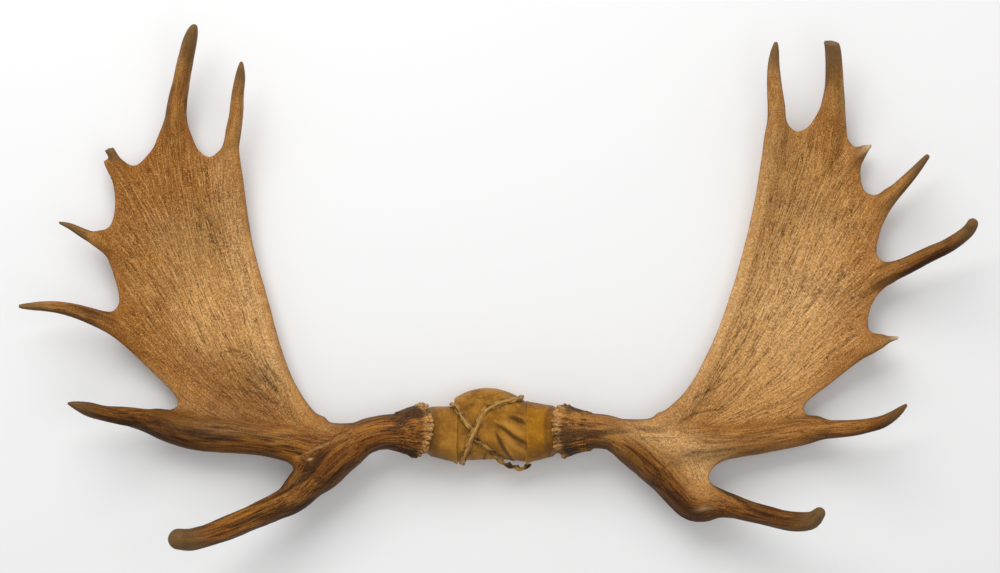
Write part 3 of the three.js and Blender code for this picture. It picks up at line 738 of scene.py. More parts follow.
def ticks(low, high, fine_low, fine_high):
    """Lattice planes along one axis: close together in one stretch and wider elsewhere."""
    place = np.linspace(low, high, TICK_SAMPLES)
    fine = (smoothstep(place, fine_low - FINE_EASE, fine_low)
            * smoothstep(-place, -fine_high - FINE_EASE, -fine_high))
    gap = COARSE_STEP - (COARSE_STEP - FINE_STEP) * fine
    count = np.concatenate([[0], np.cumsum(np.diff(place) / gap[1:])])
    total = LATTICE_BLOCK * math.ceil(count[-1] / LATTICE_BLOCK)
    return np.interp(np.linspace(0, count[-1], total), count, place)


def lattice(distance, axes):
    """Distances on a lattice, worked out only in the blocks that the surface may cross."""
    block = LATTICE_BLOCK
    middles = [axis.reshape(-1, block).mean(axis=1) for axis in axes]
    corner = np.stack(np.meshgrid(*middles, indexing="ij"), axis=-1)
    coarse = distance(corner.reshape(-1, 3)).reshape(corner.shape[:3])
    fine = coarse.astype(np.float32)
    for axis in range(3):
        fine = np.repeat(fine, block, axis=axis)
    near = np.argwhere(np.abs(coarse) < block * COARSE_STEP)
    inner = np.stack(np.meshgrid(*[np.arange(block)] * 3, indexing="ij"), axis=-1).reshape(-1, 3)
    index = (near[:, None, :] * block + inner).reshape(-1, 3)
    places = np.stack([axis[number] for axis, number in zip(axes, index.T)], axis=1)
    fine[tuple(index.T)] = distance(places)
    return fine


def skin_of(values, axes):
    """Surface nets: one point in each lattice cell that the surface crosses, at the mean of
    its crossings of the cell's edges, and one square round each lattice edge it crosses."""
    inside = values < 0
    shifts = np.array([(i, j, k) for i in (0, 1) for j in (0, 1) for k in (0, 1)])
    size = np.array(values.shape) - 1
    count = np.zeros(size, np.int8)
    for i, j, k in shifts:
        count += inside[i:i + size[0], j:j + size[1], k:k + size[2]]
    cells = np.argwhere((count > 0) & (count < 8))
    number = np.full(size, -1, np.int32)
    number[tuple(cells.T)] = np.arange(len(cells))
    corners = values[tuple((cells[:, None, :] + shifts).transpose(2, 0, 1))]
    total = np.zeros((len(cells), 3))
    crossings = np.zeros(len(cells))
    for a in range(8):
        for b in range(a + 1, 8):
            if np.abs(shifts[a] - shifts[b]).sum() != 1:
                continue
            va, vb = corners[:, a], corners[:, b]
            crossed = (va < 0) != (vb < 0)
            share = np.where(crossed, va / np.where(crossed, va - vb, 1), 0)[:, None]
            total += np.where(crossed[:, None], shifts[a] + share * (shifts[b] - shifts[a]), 0)
            crossings += crossed
    index = cells + total / crossings[:, None]
    places = np.stack([np.interp(along, np.arange(len(axis)), axis)
                       for along, axis in zip(index.T, axes)], axis=1)
    squares = []
    for axis in range(3):
        second, third = (axis + 1) % 3, (axis + 2) % 3
        lower = np.take(inside, np.arange(size[axis]), axis=axis)
        upper = np.take(inside, np.arange(1, size[axis] + 1), axis=axis)
        edges = np.argwhere(lower != upper)
        edges = edges[(edges[:, second] > 0) & (edges[:, third] > 0)
                      & (edges[:, second] < size[second]) & (edges[:, third] < size[third])]
        back = np.zeros((4, 3), int)
        back[[0, 3], second] = -1
        back[[0, 1], third] = -1
        ring = number[tuple((edges[:, None, :] + back).transpose(2, 0, 1))]
        outwards = lower[tuple(edges.T)]
        squares.append(np.where(outwards[:, None], ring, ring[:, ::-1]))
    return places, np.concatenate(squares)


def steepest(distance, points, reach=0.6):
    """Slope of the distance along X, Y and Z."""
    return np.stack([distance(points + reach * way) - distance(points - reach * way)
                     for way in np.identity(3)], axis=1) / (2 * reach)


def bark(along, turn, seed):
    """Coarse, medium and fine ridges along a stem, which sway a little and run together."""
    sway = value_noise(along / 60, turn * 4, seed, 4) + value_noise(along / 150, turn * 2, seed + 9, 2)
    layers = []
    for number, (ridges, length) in enumerate(((11, 100), (26, 48), (48, 18))):
        layers.append(value_noise(along / length, (turn + 0.14 * sway) * ridges,
                                  seed + 1 + number, ridges))
    return np.stack(layers, axis=1)


def combed(blade, points, seed):
    """Coarse, medium and fine streaks on the palm: noise averaged on a walk along the growth."""
    layers = []
    for number, (size, length) in enumerate(((16, 110), (6, 50), (3.0, 24))):
        stride = 0.8 * size
        count = max(3, int(length / 2 / stride))
        total = value_noise(*(points[:, :2] / size).T, seed + number)
        for way in (-stride, stride):
            place = points[:, :2].copy()
            for _ in range(count):
                place += way * unit(blade.read(place)[:, 2:])
                total = total + value_noise(*(place / size).T, seed + number)
        layers.append(np.clip(0.5 + (total - total.mean()) / (4.5 * total.std()), 0, 1))
    return np.stack(layers, axis=1)


def spots(points, rows):
    """Sum of soft oval spots, each (x, y, half length, half width, turn in degrees, strength)."""
    total = np.zeros(len(points))
    for x, y, length, width, turn, strength in rows:
        way = np.array([math.cos(math.radians(turn)), math.sin(math.radians(turn))])
        gap = points[:, :2] - (x, y)
        along, across = gap @ way, gap @ (-way[1], way[0])
        total += strength * np.exp(-(along / length) ** 2 - (across / width) ** 2)
    return np.clip(total, 0, 1)


STEM_RELIEF = np.array([2.0, 1.7, 1.0])
PALM_RELIEF = np.array([0.9, 0.5, 0.25])
VEIN_DEPTH = 1.1
BEAD_GAP_DEPTH = 1.5
RIDGE_RADIUS = 26.0
FORM_FADE = 4
GRAIN_APART = 700
RIBS_IN_PALM = ("third", "fourth", "fifth", "sixth", "stub", "top_outer", "top_inner")


def grooves(points, lines):
    """1 in the middle of drawn lines and 0 a few millimetres off, thinner to their ends."""
    depth = np.zeros(len(points))
    for number, line in enumerate(lines):
        path = smooth_path([(*place, 0) for place in line], 3.0)
        path[:, :2] += 3 * (value_noise(np.arange(len(path)) / 4.0, np.full(len(path), 0.5),
                                        number)[:, None] - 0.5)
        near = np.all((points[:, :2] > path[:, :2].min(0) - 12)
                      & (points[:, :2] < path[:, :2].max(0) + 12), axis=1)
        gaps = np.linalg.norm(points[near, None, :2] - path[None, :, :2], axis=2)
        width = 0.9 + 0.9 * (1 - gaps.argmin(axis=1) / len(path))
        depth[near] = np.maximum(depth[near], np.exp(-(gaps.min(axis=1) / width) ** 2))
    return depth


def weathered(antler, places, normals):
    """Relief of every point, with what the colours need: growth streaks, shares, tones and painted
    shade.
    """
    plan, blade = antler.plan, antler.blade
    gaps = {name: stem.distance(places) for name, stem in antler.stems.items()}
    palm_gap, plan_gap = blade.distance(places), blade.read(places)[:, 0]
    least = np.minimum(np.min(list(gaps.values()), axis=0), palm_gap)
    palm = np.exp(-(palm_gap - least) / FORM_FADE)
    weight, growth = palm.copy(), np.zeros((len(places), 3))
    near = palm > 0.02
    growth[near] = combed(blade, places[near], plan["seed"]) * palm[near, None]
    relief = (growth - 0.5 * palm[:, None]) @ PALM_RELIEF
    tip, top_share, dark = np.zeros((3, len(places)))
    stem_grain = places.copy()
    leaving = smoothstep(plan_gap, -26, 12)
    for number, (name, stem) in enumerate(antler.stems.items()):
        share = np.exp(-(gaps[name] - least) / FORM_FADE)
        if name in RIBS_IN_PALM:
            share *= leaving
        near = (share > 0.02) & stem.within(places)
        along, turn, radius, aside, above = stem.around(places[near])
        layers = bark(along, turn, plan["seed"] + 20 * number)
        share = share[near]
        growth[near] += layers * share[:, None]
        weight[near] += share
        dark[near] += share * plan["dark"].get(name, 0.12)
        size = np.minimum(radius / RIDGE_RADIUS, 1.1) ** 0.8
        if name != "beam":
            end = smoothstep(along, stem.along[-1] - 60, stem.along[-1] - 6)
            tip[near] = np.maximum(tip[near], end * share)
            size = size * (1 - 0.75 * end)
        relief[near] += share * size * ((layers - 0.5) @ STEM_RELIEF)
        chosen = share > top_share[near]
        grain = np.column_stack([along + GRAIN_APART * number, aside, above])
        stem_grain[np.flatnonzero(near)[chosen]] = grain[chosen]
        top_share[near] = np.maximum(top_share[near], share)
    growth /= weight[:, None]
    vein = grooves(places, plan["veins"]) * palm / weight
    relief = relief / weight - VEIN_DEPTH * vein
    palm = palm / weight
    bead = antler.bead_distance(places)
    out = (places - antler.burr) @ antler.axis
    flute = np.exp(-np.maximum(bead, 0) / 0.7) * smoothstep(-out, -17, -8)
    between_beads = smoothstep(bead, 0.3, 2.5) * smoothstep(-out, -42, -12)
    relief -= BEAD_GAP_DEPTH * between_beads * weight
    rim = smoothstep(plan_gap, -16, -1) * palm
    # Painted shade: faces turned towards -Y and steep sides get a dark coat, as shade falls under the
    # stems and round their sides.
    under = smoothstep(-normals[:, 1], 0.1, 0.9) * (1 - palm)
    under = np.maximum(under, 0.7 * smoothstep(1 - np.abs(normals[:, 2]), 0.4, 0.95))
    form = np.column_stack([1 - palm, tip, 0.5 + relief / 4, under])
    dark /= weight
    # The pale spots are partly paler bone and partly a painted highlight, as along the palms' inner
    # edges.
    pale = spots(places, plan["pale"])
    dark = np.clip(dark * (1 - pale) + spots(places, plan["deep"]), 0, 1)
    # Painted shade between the burr's beads: the dark share rises in the gaps between them.
    dark = np.maximum(dark, 0.85 * between_beads)
    rough = palm * smoothstep(-plan_gap, 2, 20) + 0.7 * dark
    tone = np.column_stack([spots(places, plan["stains"]), rim,
                            spots(places, plan["grey"]), spots(places, plan["worn"])])
    growth = np.column_stack([growth, flute])
    traced = blade.between(blade.traced, places)
    palm_grain = np.column_stack([traced[:, :2], 0.2 * places[:, 2]])
    dark = np.column_stack([dark, vein, traced[:, 2]])
    # The shade layer holds the pale spots, the cracked share and the spots of painted shade along the
    # tines' lower edges.
    shade = np.column_stack([pale, np.clip(rough, 0, 1), spots(places, plan["painted_shade"])])
    return relief, {"growth": growth, "form": form, "tone": tone, "stem_grain": stem_grain,
                    "palm_grain": palm_grain, "dark": dark, "shade": shade}


def antler_mesh(antler):
    """Skin of one antler: meshed, drawn onto the exact surface, then given its relief."""
    side = antler.plan["side"]
    low = np.min([stem.places.min(0) - stem.radii.max() for stem in antler.stems.values()], axis=0)
    high = np.max([stem.places.max(0) + stem.radii.max() for stem in antler.stems.values()], axis=0)
    fine = sorted(side * x for x in FINE_X), FINE_Y, FINE_Z
    axes = [ticks(low[number] - LATTICE_MARGIN, high[number] + LATTICE_MARGIN, *fine[number])
            for number in range(3)]
    places, squares = skin_of(lattice(antler.distance, axes), axes)
    for _ in range(2):
        slopes = steepest(antler.distance, places)
        strength = np.maximum(np.einsum("ij,ij->i", slopes, slopes), 0.2)
        places -= (antler.distance(places) / strength)[:, None] * slopes
    normals = unit(slopes)
    relief, layers = weathered(antler, places, normals)
    places += relief[:, None] * normals
    mesh = bpy.data.meshes.new(antler.plan["name"])
    mesh.from_pydata((places * MM).tolist(), [], squares.tolist())
    mesh.shade_smooth()
    for name, values in layers.items():
        kind, field = (("FLOAT_COLOR", "color") if values.shape[1] == 4
                       else ("FLOAT_VECTOR", "vector"))
        layer = mesh.attributes.new(name, kind, "POINT")
        layer.data.foreach_set(field, values.astype(np.float32).ravel())
    return mesh


def antler_material():
    """Weathered antler: tan streaked palms, dark ridged stems, stains, grey and pale wear, and painted
    shade.
    """
    material = new_material("antler")
    place = Wire.out("ShaderNodeTexCoord", "Object")
    growth, form, tone = (Wire.node("ShaderNodeAttribute", {"attribute_name": name})
                          for name in ("growth", "form", "tone"))
    layers = Wire.node("ShaderNodeSeparateColor", _0=Wire(growth.outputs["Color"]))
    coarse, medium = (Wire(layers.outputs[number]) for number in range(2))
    flute = Wire(growth.outputs["Alpha"])
    shares = Wire.node("ShaderNodeSeparateColor", _0=Wire(form.outputs["Color"]))
    stem, tip, height = (Wire(shares.outputs[number]) for number in range(3))
    under = Wire(form.outputs["Alpha"])
    tones = Wire.node("ShaderNodeSeparateColor", _0=Wire(tone.outputs["Color"]))
    stain, rim, grey = (Wire(tones.outputs[number]) for number in range(3))
    worn = Wire(tone.outputs["Alpha"])
    clouds = Wire.noise(place, 0.09, 4.0, 0.6)
    drift = Wire.noise(place, 0.025, 4.0, 0.65)
    speck = Wire.noise(place, 0.0035, 3.0, 0.7)

    def grain(name, along, across, detail):
        """Noise drawn out along the growth, with cells of a length and width in millimetres."""
        source = Wire.out("ShaderNodeAttribute", "Vector", {"attribute_name": name})
        scaled = Wire.out("ShaderNodeVectorMath", 0, {"operation": "MULTIPLY"}, _0=source,
                          _1=(1 / along, 1 / across, 1 / across))
        return Wire.out("ShaderNodeTexNoise", 0, Vector=scaled, Scale=1.0, Detail=detail,
                        Roughness=0.6, Distortion=0.3)

    others = Wire.node("ShaderNodeSeparateXYZ", _0=Wire.out(
        "ShaderNodeAttribute", "Vector", {"attribute_name": "dark"}))
    dark, vein, spread = (Wire(others.outputs[number]) for number in range(3))

    def palm_grain(along, across, detail):
        """Grain of an even width on the palm, narrower or wider where its lines spread."""
        narrow, middle, wide = (grain("palm_grain", along, across * size, detail)
                                for size in (0.38, 1.0, 2.6))
        part = spread.between(0.35, 0.75).mixed(narrow, middle)
        return spread.between(1.2, 2.2).mixed(part, wide)

    shades = Wire.node("ShaderNodeSeparateXYZ", _0=Wire.out(
        "ShaderNodeAttribute", "Vector", {"attribute_name": "shade"}))
    pale, cracked, painted_shade = (Wire(shades.outputs[number]) for number in range(3))

    def hairline(source, level, width):
        """1 on the thin lines where a noise crosses a level, 0 off them."""
        return Wire.math("ABSOLUTE", source - level).between(width, 0.0)

    streak = stem.mixed(palm_grain(60, 2.6, 2.0), grain("stem_grain", 95, 3.4, 3.0))
    thread = stem.mixed(palm_grain(26, 1.2, 2.0), grain("stem_grain", 42, 1.6, 3.0))
    wander = palm_grain(120, 9.0, 1.0)
    crack = hairline(wander, 0.5, 0.014) * drift.between(0.42, 0.58) * cracked
    grit = Wire.noise(place, 0.0016, 2.0, 0.7)
    calm = cracked * 0.5 + 0.5

    tan = coats(paint(176, 122, 60),
                (drift.between(0.3, 0.7), (196, 142, 78)),
                (clouds.between(0.42, 0.62) * 0.65, (154, 98, 38)),
                # Pale spots: paler bone, partly a painted highlight along the palms' inner edges.
                (pale * 0.6, (220, 168, 102)),
                (stain * drift.between(0.1, 0.45) * 0.85, (142, 84, 16)),
                (grey * drift.between(0.25, 0.6) * 0.6, (116, 84, 48)),
                (streak.between(0.52, 0.34) * calm * 0.5, (112, 68, 22)),
                (streak.between(0.52, 0.68) * calm * 0.3, (226, 178, 112)),
                (thread.between(0.47, 0.33) * calm * 0.78, (84, 46, 12)),
                (thread.between(0.55, 0.68) * calm * (pale * 0.4 + 0.3), (242, 196, 124)),
                (crack * 0.8, (66, 36, 10)),
                (speck.between(0.48, 0.34) * calm * 0.38, (104, 62, 22)),
                (speck.between(0.54, 0.68) * calm * 0.28, (232, 184, 114)),
                (grit.between(0.48, 0.34) * 0.58, (82, 48, 14)),
                (grit.between(0.54, 0.68) * 0.42, (244, 198, 130)),
                (pale * speck.between(0.5, 0.6) * 0.35, (236, 210, 170)),
                (rim * speck.between(0.4, 0.62) * drift.between(0.42, 0.6) * 0.6, (108, 48, 30)),
                (vein * 0.8, (58, 34, 12)))

    shaft = coats(paint(68, 35, 4),
                  (streak.between(0.36, 0.62), (150, 92, 28)),
                  (medium.between(0.45, 0.8) * 0.55, (178, 118, 44)),
                  (coarse.between(0.5, 0.2) * 0.55, (54, 27, 8)),
                  (thread.between(0.48, 0.34) * 0.8, (30, 15, 5)),
                  (thread.between(0.56, 0.68) * 0.5, (200, 144, 66)),
                  (clouds.between(0.4, 0.7) * 0.45, (104, 46, 14)),
                  (grit.between(0.55, 0.7) * 0.32, (204, 148, 72)),
                  (grit.between(0.48, 0.34) * 0.45, (26, 13, 4)),
                  # Pale spots: paler bone, partly a painted highlight.
                  (pale * 0.3, (190, 138, 76)))

    colour = coats(Wire.mix(dark, tan, shaft),
                   # Painted shade: dark streaks along the tines' lower edges.
                   (painted_shade * drift.between(0.15, 0.5) * 0.8, (52, 27, 6)),
                   # Painted shade on the undersides and steep sides.
                   (under * 0.75, (40, 22, 8)),
                   (flute * speck.between(0.36, 0.62) * 0.75, (206, 158, 100)),
                   # Painted shade in the grooves of the stems' relief.
                   (height.between(0.5, 0.26) * stem * 0.6, (36, 20, 9)),
                   (tip * drift.between(0.1, 0.5) * 0.75, (108, 84, 52)),
                   (worn * speck.between(0.2, 0.5), (220, 190, 140)))
    rough = 0.56 - stem * 0.14 + speck * 0.1
    bump = Wire.out("ShaderNodeBump", 0, None, Strength=0.8, Distance=0.002,
                    Height=(thread * 0.8 + streak * 0.5) * (stem * 0.7 + 0.3) + speck * 0.2
                    - crack * 0.5)
    finish_surface(colour, rough, bump, Specular_IOR_Level=0.12)
    return material


antler_skin = antler_material()
for plan in (LEFT, RIGHT):
    mesh = antler_mesh(Antler(plan))
    mesh.materials.append(antler_skin)
    piece = bpy.data.objects.new(mesh.name, mesh)
    bpy.context.scene.collection.objects.link(piece)
    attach(piece, "root")
    side = mesh.name.split("_")[0]
    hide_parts(*(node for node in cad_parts
                         if node.startswith(side) and "cuff" not in node))


# ---- Skull plate -------------------------------------------------------------------------
# The sawn plate of skull bone with its two pedicles shows only in the window at the back,
# where the buckskin is turned over its edge. It is dry porous bone.

plate_bone = new_material("skull_bone")
place = Wire.out("ShaderNodeTexCoord", "Object")
pores, clouds = Wire.noise(place, 0.002, 3.0, 0.6), Wire.noise(place, 0.03, 4.0, 0.6)
colour = coats(paint(214, 196, 158),
               (clouds.between(0.35, 0.7), (186, 160, 116)),
               (pores.between(0.6, 0.72) * 0.7, (120, 92, 60)))
pits = Wire.out("ShaderNodeBump", 0, None, Strength=0.5, Distance=0.0008, Height=pores)
finish_surface(colour, 0.75 - clouds * 0.15, pits, Specular_IOR_Level=0.25)
plate = bpy.data.objects["skull_plate"]
plate.data.materials.clear()
plate.data.materials.append(plate_bone)


# ---- Buckskin ----------------------------------------------------------------------------
# Three pieces of suede buckskin cover the bone: a panel stretched over the crown, then a cuff
# round each pedicle whose free edge laps over the panel. Their sections are squarish ovals.

LEATHER = 2.1
SQUARENESS = 0.77
PANEL_TOP = 64
PANEL_CROWN_X = -7
PANEL_CROWN_DROP = 0.0064
PANEL_BOTTOM = -42
PANEL_BOTTOM_DROP = 0.0016
PANEL_MID_Z = 34
PANEL_DEPTH = 38
PANEL_HALF = 55.2
PANEL_ACROSS = 110
PANEL_AROUND = 440
PANEL_CURL = 1.4
CURL_STEPS = 7
CURL_MID_Y = -6.0
CURL_HALF = 37.0
CURL_DEPTH = 33
CURL_MID_Z = 38
PANEL_FLAT = 0.4
CUFF_LAP = 51.5
CUFF_START = 9
CUFF_TUCK = -0.35
CUFF_PULL = 3.6
CUFF_ROWS = 76
CUFF_AROUND = 400
WINDOW_HALF = np.array([40.0, 24.0])
WINDOW_Y = 10.0
WINDOW_CORNER = 12.0
WINDOW_SNAP = 1.3
FOLD_GAIN = 1.15
CUFF_OUTER = np.array([0.0, 43.0, 36.6, 36.6])
CUFF_INNER = {-1: np.array([-5.5, 39.0, 42.0, 36.8]), 1: np.array([-2.0, 39.0, 46.0, 36.8])}

# Valleys and ridges of the panel: (line in x and y, height, half width).
PANEL_FOLDS = [
    ([(4, 13), (16, 7), (32, -6), (52, -17)], -2.1, 3.4),
    ([(14, 16), (28, 8), (40, 0), (51, -5)], 1.8, 4.5),
    ([(24, 23), (39, 18), (50, 11)], -1.7, 3.2),
    ([(16, 0), (26, -12), (38, -24), (50, -30)], 1.6, 4.5),
    ([(4, 2), (11, -10), (20, -25), (31, -40), (39, -49)], -2.2, 2.9),
    ([(16, -14), (24, -26), (32, -38), (40, -49)], 2.2, 2.3),
    ([(-46, -6), (-36, -6), (-28, -9)], 1.0, 2.5),
    ([(-44, -24), (-34, -30), (-28, -40)], -1.0, 3.0),
    ([(-20, -30), (-30, -36), (-38, -46)], 1.2, 3.0),
    ([(-4, -22), (-10, -34), (-12, -44)], -1.2, 3.0),
    ([(-44, 30), (-34, 38), (-20, 46)], -0.9, 5.0),
]


def panel_size(x):
    """Middle and half height of the panel's section at each x."""
    top = PANEL_TOP - PANEL_CROWN_DROP * (x - PANEL_CROWN_X) ** 2
    bottom = PANEL_BOTTOM - PANEL_BOTTOM_DROP * x * x
    return (top + bottom) / 2, (top - bottom) / 2


def oval(turn, size_y, size_z, middle_y, middle_z):
    """A squarish oval: sine and cosine drawn towards the corners by a power."""
    ways = np.cos(turn), np.sin(turn)
    y, z = (np.sign(way) * np.abs(way) ** SQUARENESS for way in ways)
    return middle_y + size_y * y, middle_z + size_z * z


def even_turns(count):
    """Turns at which a squarish oval is sampled about evenly."""
    dense = np.linspace(0, 2 * np.pi, 8001)
    y, z = oval(dense, 1, 1, 0, 0)
    along = np.concatenate([[0], np.cumsum(np.hypot(np.diff(y), np.diff(z)))])
    return np.interp(np.arange(count) / count * along[-1], along, dense)


def panel_front(x, y):
    """Height of the panel's face over a place, and its normal there."""
    middle, half = panel_size(x)
    power = 2 / SQUARENESS
    share = np.clip((y - middle) / half, -0.995, 0.995)
    depth = (1 - np.abs(share) ** power) ** (1 / power)
    normal = np.stack([0 * x, np.sign(share) * np.abs(share) ** (power - 1) / half,
                       depth ** (power - 1) / PANEL_DEPTH], axis=-1)
    return PANEL_MID_Z + PANEL_DEPTH * depth, unit(normal)


def fold(points, line, height, width):
    """Rise of one fold: a round ridge or valley along a drawn line, fading to its ends."""
    path = smooth_path([(*place, 0) for place in line], 1.5)[:, :2]
    gaps = np.linalg.norm(points[:, None] - path[None], axis=2)
    share = gaps.argmin(axis=1) / (len(path) - 1)
    return height * np.exp(-(gaps.min(axis=1) / width) ** 2) * np.sin(
        np.pi * (0.06 + 0.88 * share)) ** 0.7


def grid_normals(rows):
    """Outward normals of a grid of points that runs round in its second direction."""
    across = np.gradient(rows, axis=0)
    around = np.roll(rows, -1, axis=1) - np.roll(rows, 1, axis=1)
    return unit(np.cross(across, around))


def grid_faces(count, around):
    """Squares of a grid that closes on itself in its second direction."""
    first = np.arange(count - 1)[:, None] * around + np.arange(around)
    second = np.arange(count - 1)[:, None] * around + (np.arange(around) + 1) % around
    return np.stack([first, second, second + around, first + around], axis=-1).reshape(-1, 4)


def leather_piece(name, rows, faces, layers, material, node, **declared):
    """A sheet of leather from its outer skin, thickened inwards, with its colour layers."""
    mesh = bpy.data.meshes.new(name)
    used = np.unique(faces)
    renumber = np.zeros(len(rows), int)
    renumber[used] = np.arange(len(used))
    mesh.from_pydata((rows[used] * MM).tolist(), [], renumber[faces].tolist())
    mesh.shade_smooth()
    layer = mesh.attributes.new("leather", "FLOAT_COLOR", "POINT")
    layer.data.foreach_set("color", layers[used].astype(np.float32).ravel())
    mesh.materials.append(material)
    piece = bpy.data.objects.new(name, mesh)
    bpy.context.scene.collection.objects.link(piece)
    solid = piece.modifiers.new("thickness", "SOLIDIFY")
    solid.thickness = LEATHER * MM
    solid.offset = -1
    solid.use_even_offset = False
    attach(piece, "root")
    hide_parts(node)


def suede(name, nap, bright, deep):
    """Suede: a short nap over clouds, painted shade in creases, painted highlights on ridges, pale cut
    edges.
    """
    material = new_material(name)
    place = Wire.out("ShaderNodeTexCoord", "Object")
    leather = Wire.node("ShaderNodeAttribute", {"attribute_name": "leather"})
    parts = Wire.node("ShaderNodeSeparateColor", _0=Wire(leather.outputs["Color"]))
    height, edge, shade_and_dark_patches = (Wire(parts.outputs[number]) for number in range(3))
    clouds, blots = Wire.noise(place, 0.03, 4.0, 0.6), Wire.noise(place, 0.009, 4.0, 0.6, 0.6)
    fuzz, pores = Wire.noise(place, 0.0022, 3.0, 0.65), Wire.noise(place, 0.0009, 2.0, 0.6)
    colour = coats(paint(*deep),
                   (clouds.between(0.35, 0.65), nap),
                   (blots.between(0.45, 0.75) * 0.55, bright),
                   (fuzz.between(0.5, 0.3) * 0.35, deep),
                   (fuzz.between(0.55, 0.75) * 0.35, bright),
                   # Painted shade in the creases and painted highlights on the ridges, both from the
                   # height layer.
                   (height.between(0.47, 0.1) * 0.78, (58, 34, 6)),
                   (height.between(0.52, 0.9) * 0.6, bright),
                   # Darker under the burr's rim, which is painted shade, and in a few dark patches.
                   (shade_and_dark_patches * blots.between(0.3, 0.6) * 0.6, (74, 48, 18)),
                   # Pale edges: partly the paler cut edge, partly a painted highlight along the cuffs'
                   # free edges and the strips' sides.
                   (edge * blots.between(0.35, 0.7) * 0.4, bright))
    nap_bump = Wire.out("ShaderNodeBump", 0, None, Strength=0.55, Distance=0.0009,
                        Height=fuzz * 0.7 + pores * 0.4 + blots * 0.5)
    finish_surface(colour, 0.92 - fuzz * 0.1, nap_bump, Specular_IOR_Level=0.15,
                   Sheen_Weight=0.15, Sheen_Roughness=0.5)
    return material


panel_turns = even_turns(PANEL_AROUND)
curl = np.arange(1, CURL_STEPS + 1) / CURL_STEPS * np.pi / 2
curl_x = PANEL_HALF + PANEL_CURL * np.sin(curl)
panel_x = np.concatenate([-curl_x[::-1], np.linspace(-PANEL_HALF, PANEL_HALF, PANEL_ACROSS), curl_x])
down = np.concatenate([1 - np.cos(curl)[::-1], np.zeros(PANEL_ACROSS), 1 - np.cos(curl)])[:, None]
middle, half = (value[:, None] for value in panel_size(panel_x))
middle, half = middle + (CURL_MID_Y - middle) * down, half + (CURL_HALF - half) * down
y, z = oval(panel_turns[None], half, PANEL_DEPTH + (CURL_DEPTH - PANEL_DEPTH) * down, middle,
            PANEL_MID_Z + (CURL_MID_Z - PANEL_MID_Z) * down)
panel_rows = np.stack(np.broadcast_arrays(panel_x[:, None], y, np.maximum(z, PANEL_FLAT)), axis=-1)
normals = grid_normals(panel_rows)
flat_rows = panel_rows.reshape(-1, 3)
front = smoothstep(flat_rows[:, 2], 22, 44)
relief = np.zeros(len(flat_rows))
for line, height, width in PANEL_FOLDS:
    relief += fold(flat_rows[:, :2], line, FOLD_GAIN * height, FOLD_GAIN * width) * front
relief += 1.1 * (solid_noise(flat_rows, 16.0, 5) - 0.5) + 0.6 * (solid_noise(flat_rows, 6.0, 8) - 0.5)
relief = np.clip(relief, -2.2, 3.0)
flat = smoothstep(flat_rows[:, 2], PANEL_FLAT, 8)
flat *= np.repeat(1 - down[:, 0], len(panel_turns))
skin_rows = flat_rows + (relief * flat)[:, None] * normals.reshape(-1, 3)
skin_rows[:, 2] = np.maximum(skin_rows[:, 2], PANEL_FLAT)
place_xy = skin_rows[:, :2] - (0, WINDOW_Y)
corner_gap = np.abs(place_xy) - (WINDOW_HALF - WINDOW_CORNER)
window_gap = (np.linalg.norm(np.maximum(corner_gap, 0), axis=1)
              + np.minimum(corner_gap.max(axis=1), 0) - WINDOW_CORNER)
back = skin_rows[:, 2] < PANEL_FLAT + 0.5
rim = back & (np.abs(window_gap) < WINDOW_SNAP)
way = np.where(corner_gap.min(axis=1)[:, None] > 0, unit(np.maximum(corner_gap, 0)),
               np.stack([corner_gap[:, 0] > corner_gap[:, 1],
                         corner_gap[:, 0] <= corner_gap[:, 1]], axis=1)) * np.sign(place_xy)
skin_rows[rim, :2] -= (window_gap[:, None] * way)[rim]
window_gap[rim] = 0
faces = grid_faces(len(panel_x), len(panel_turns))
open_face = (back[faces] & (window_gap[faces] <= 0)).all(axis=1)
faces = faces[~open_face]
# Leather layer: fold height, painted as shade in creases and highlight on ridges; the turned-over
# window edge; dark patches.
shade = np.column_stack([0.5 + relief / 4, np.exp(-(np.abs(window_gap) / 2) ** 2) * back,
                         spots(skin_rows, [(-40, 10, 14, 20, 0, 0.8), (-12, -30, 30, 14, 20, 0.7),
                                           (40, -20, 14, 20, 0, 0.5)]) * front, 0 * relief])
panel_suede = suede("panel_suede", (164, 112, 34), (192, 138, 54), (122, 78, 18))
leather_piece("panel", skin_rows, faces, shade, panel_suede, node="centre_panel",
              flat=(0.125, 0.33), held="stretched", rests_on=["skull_plate"])


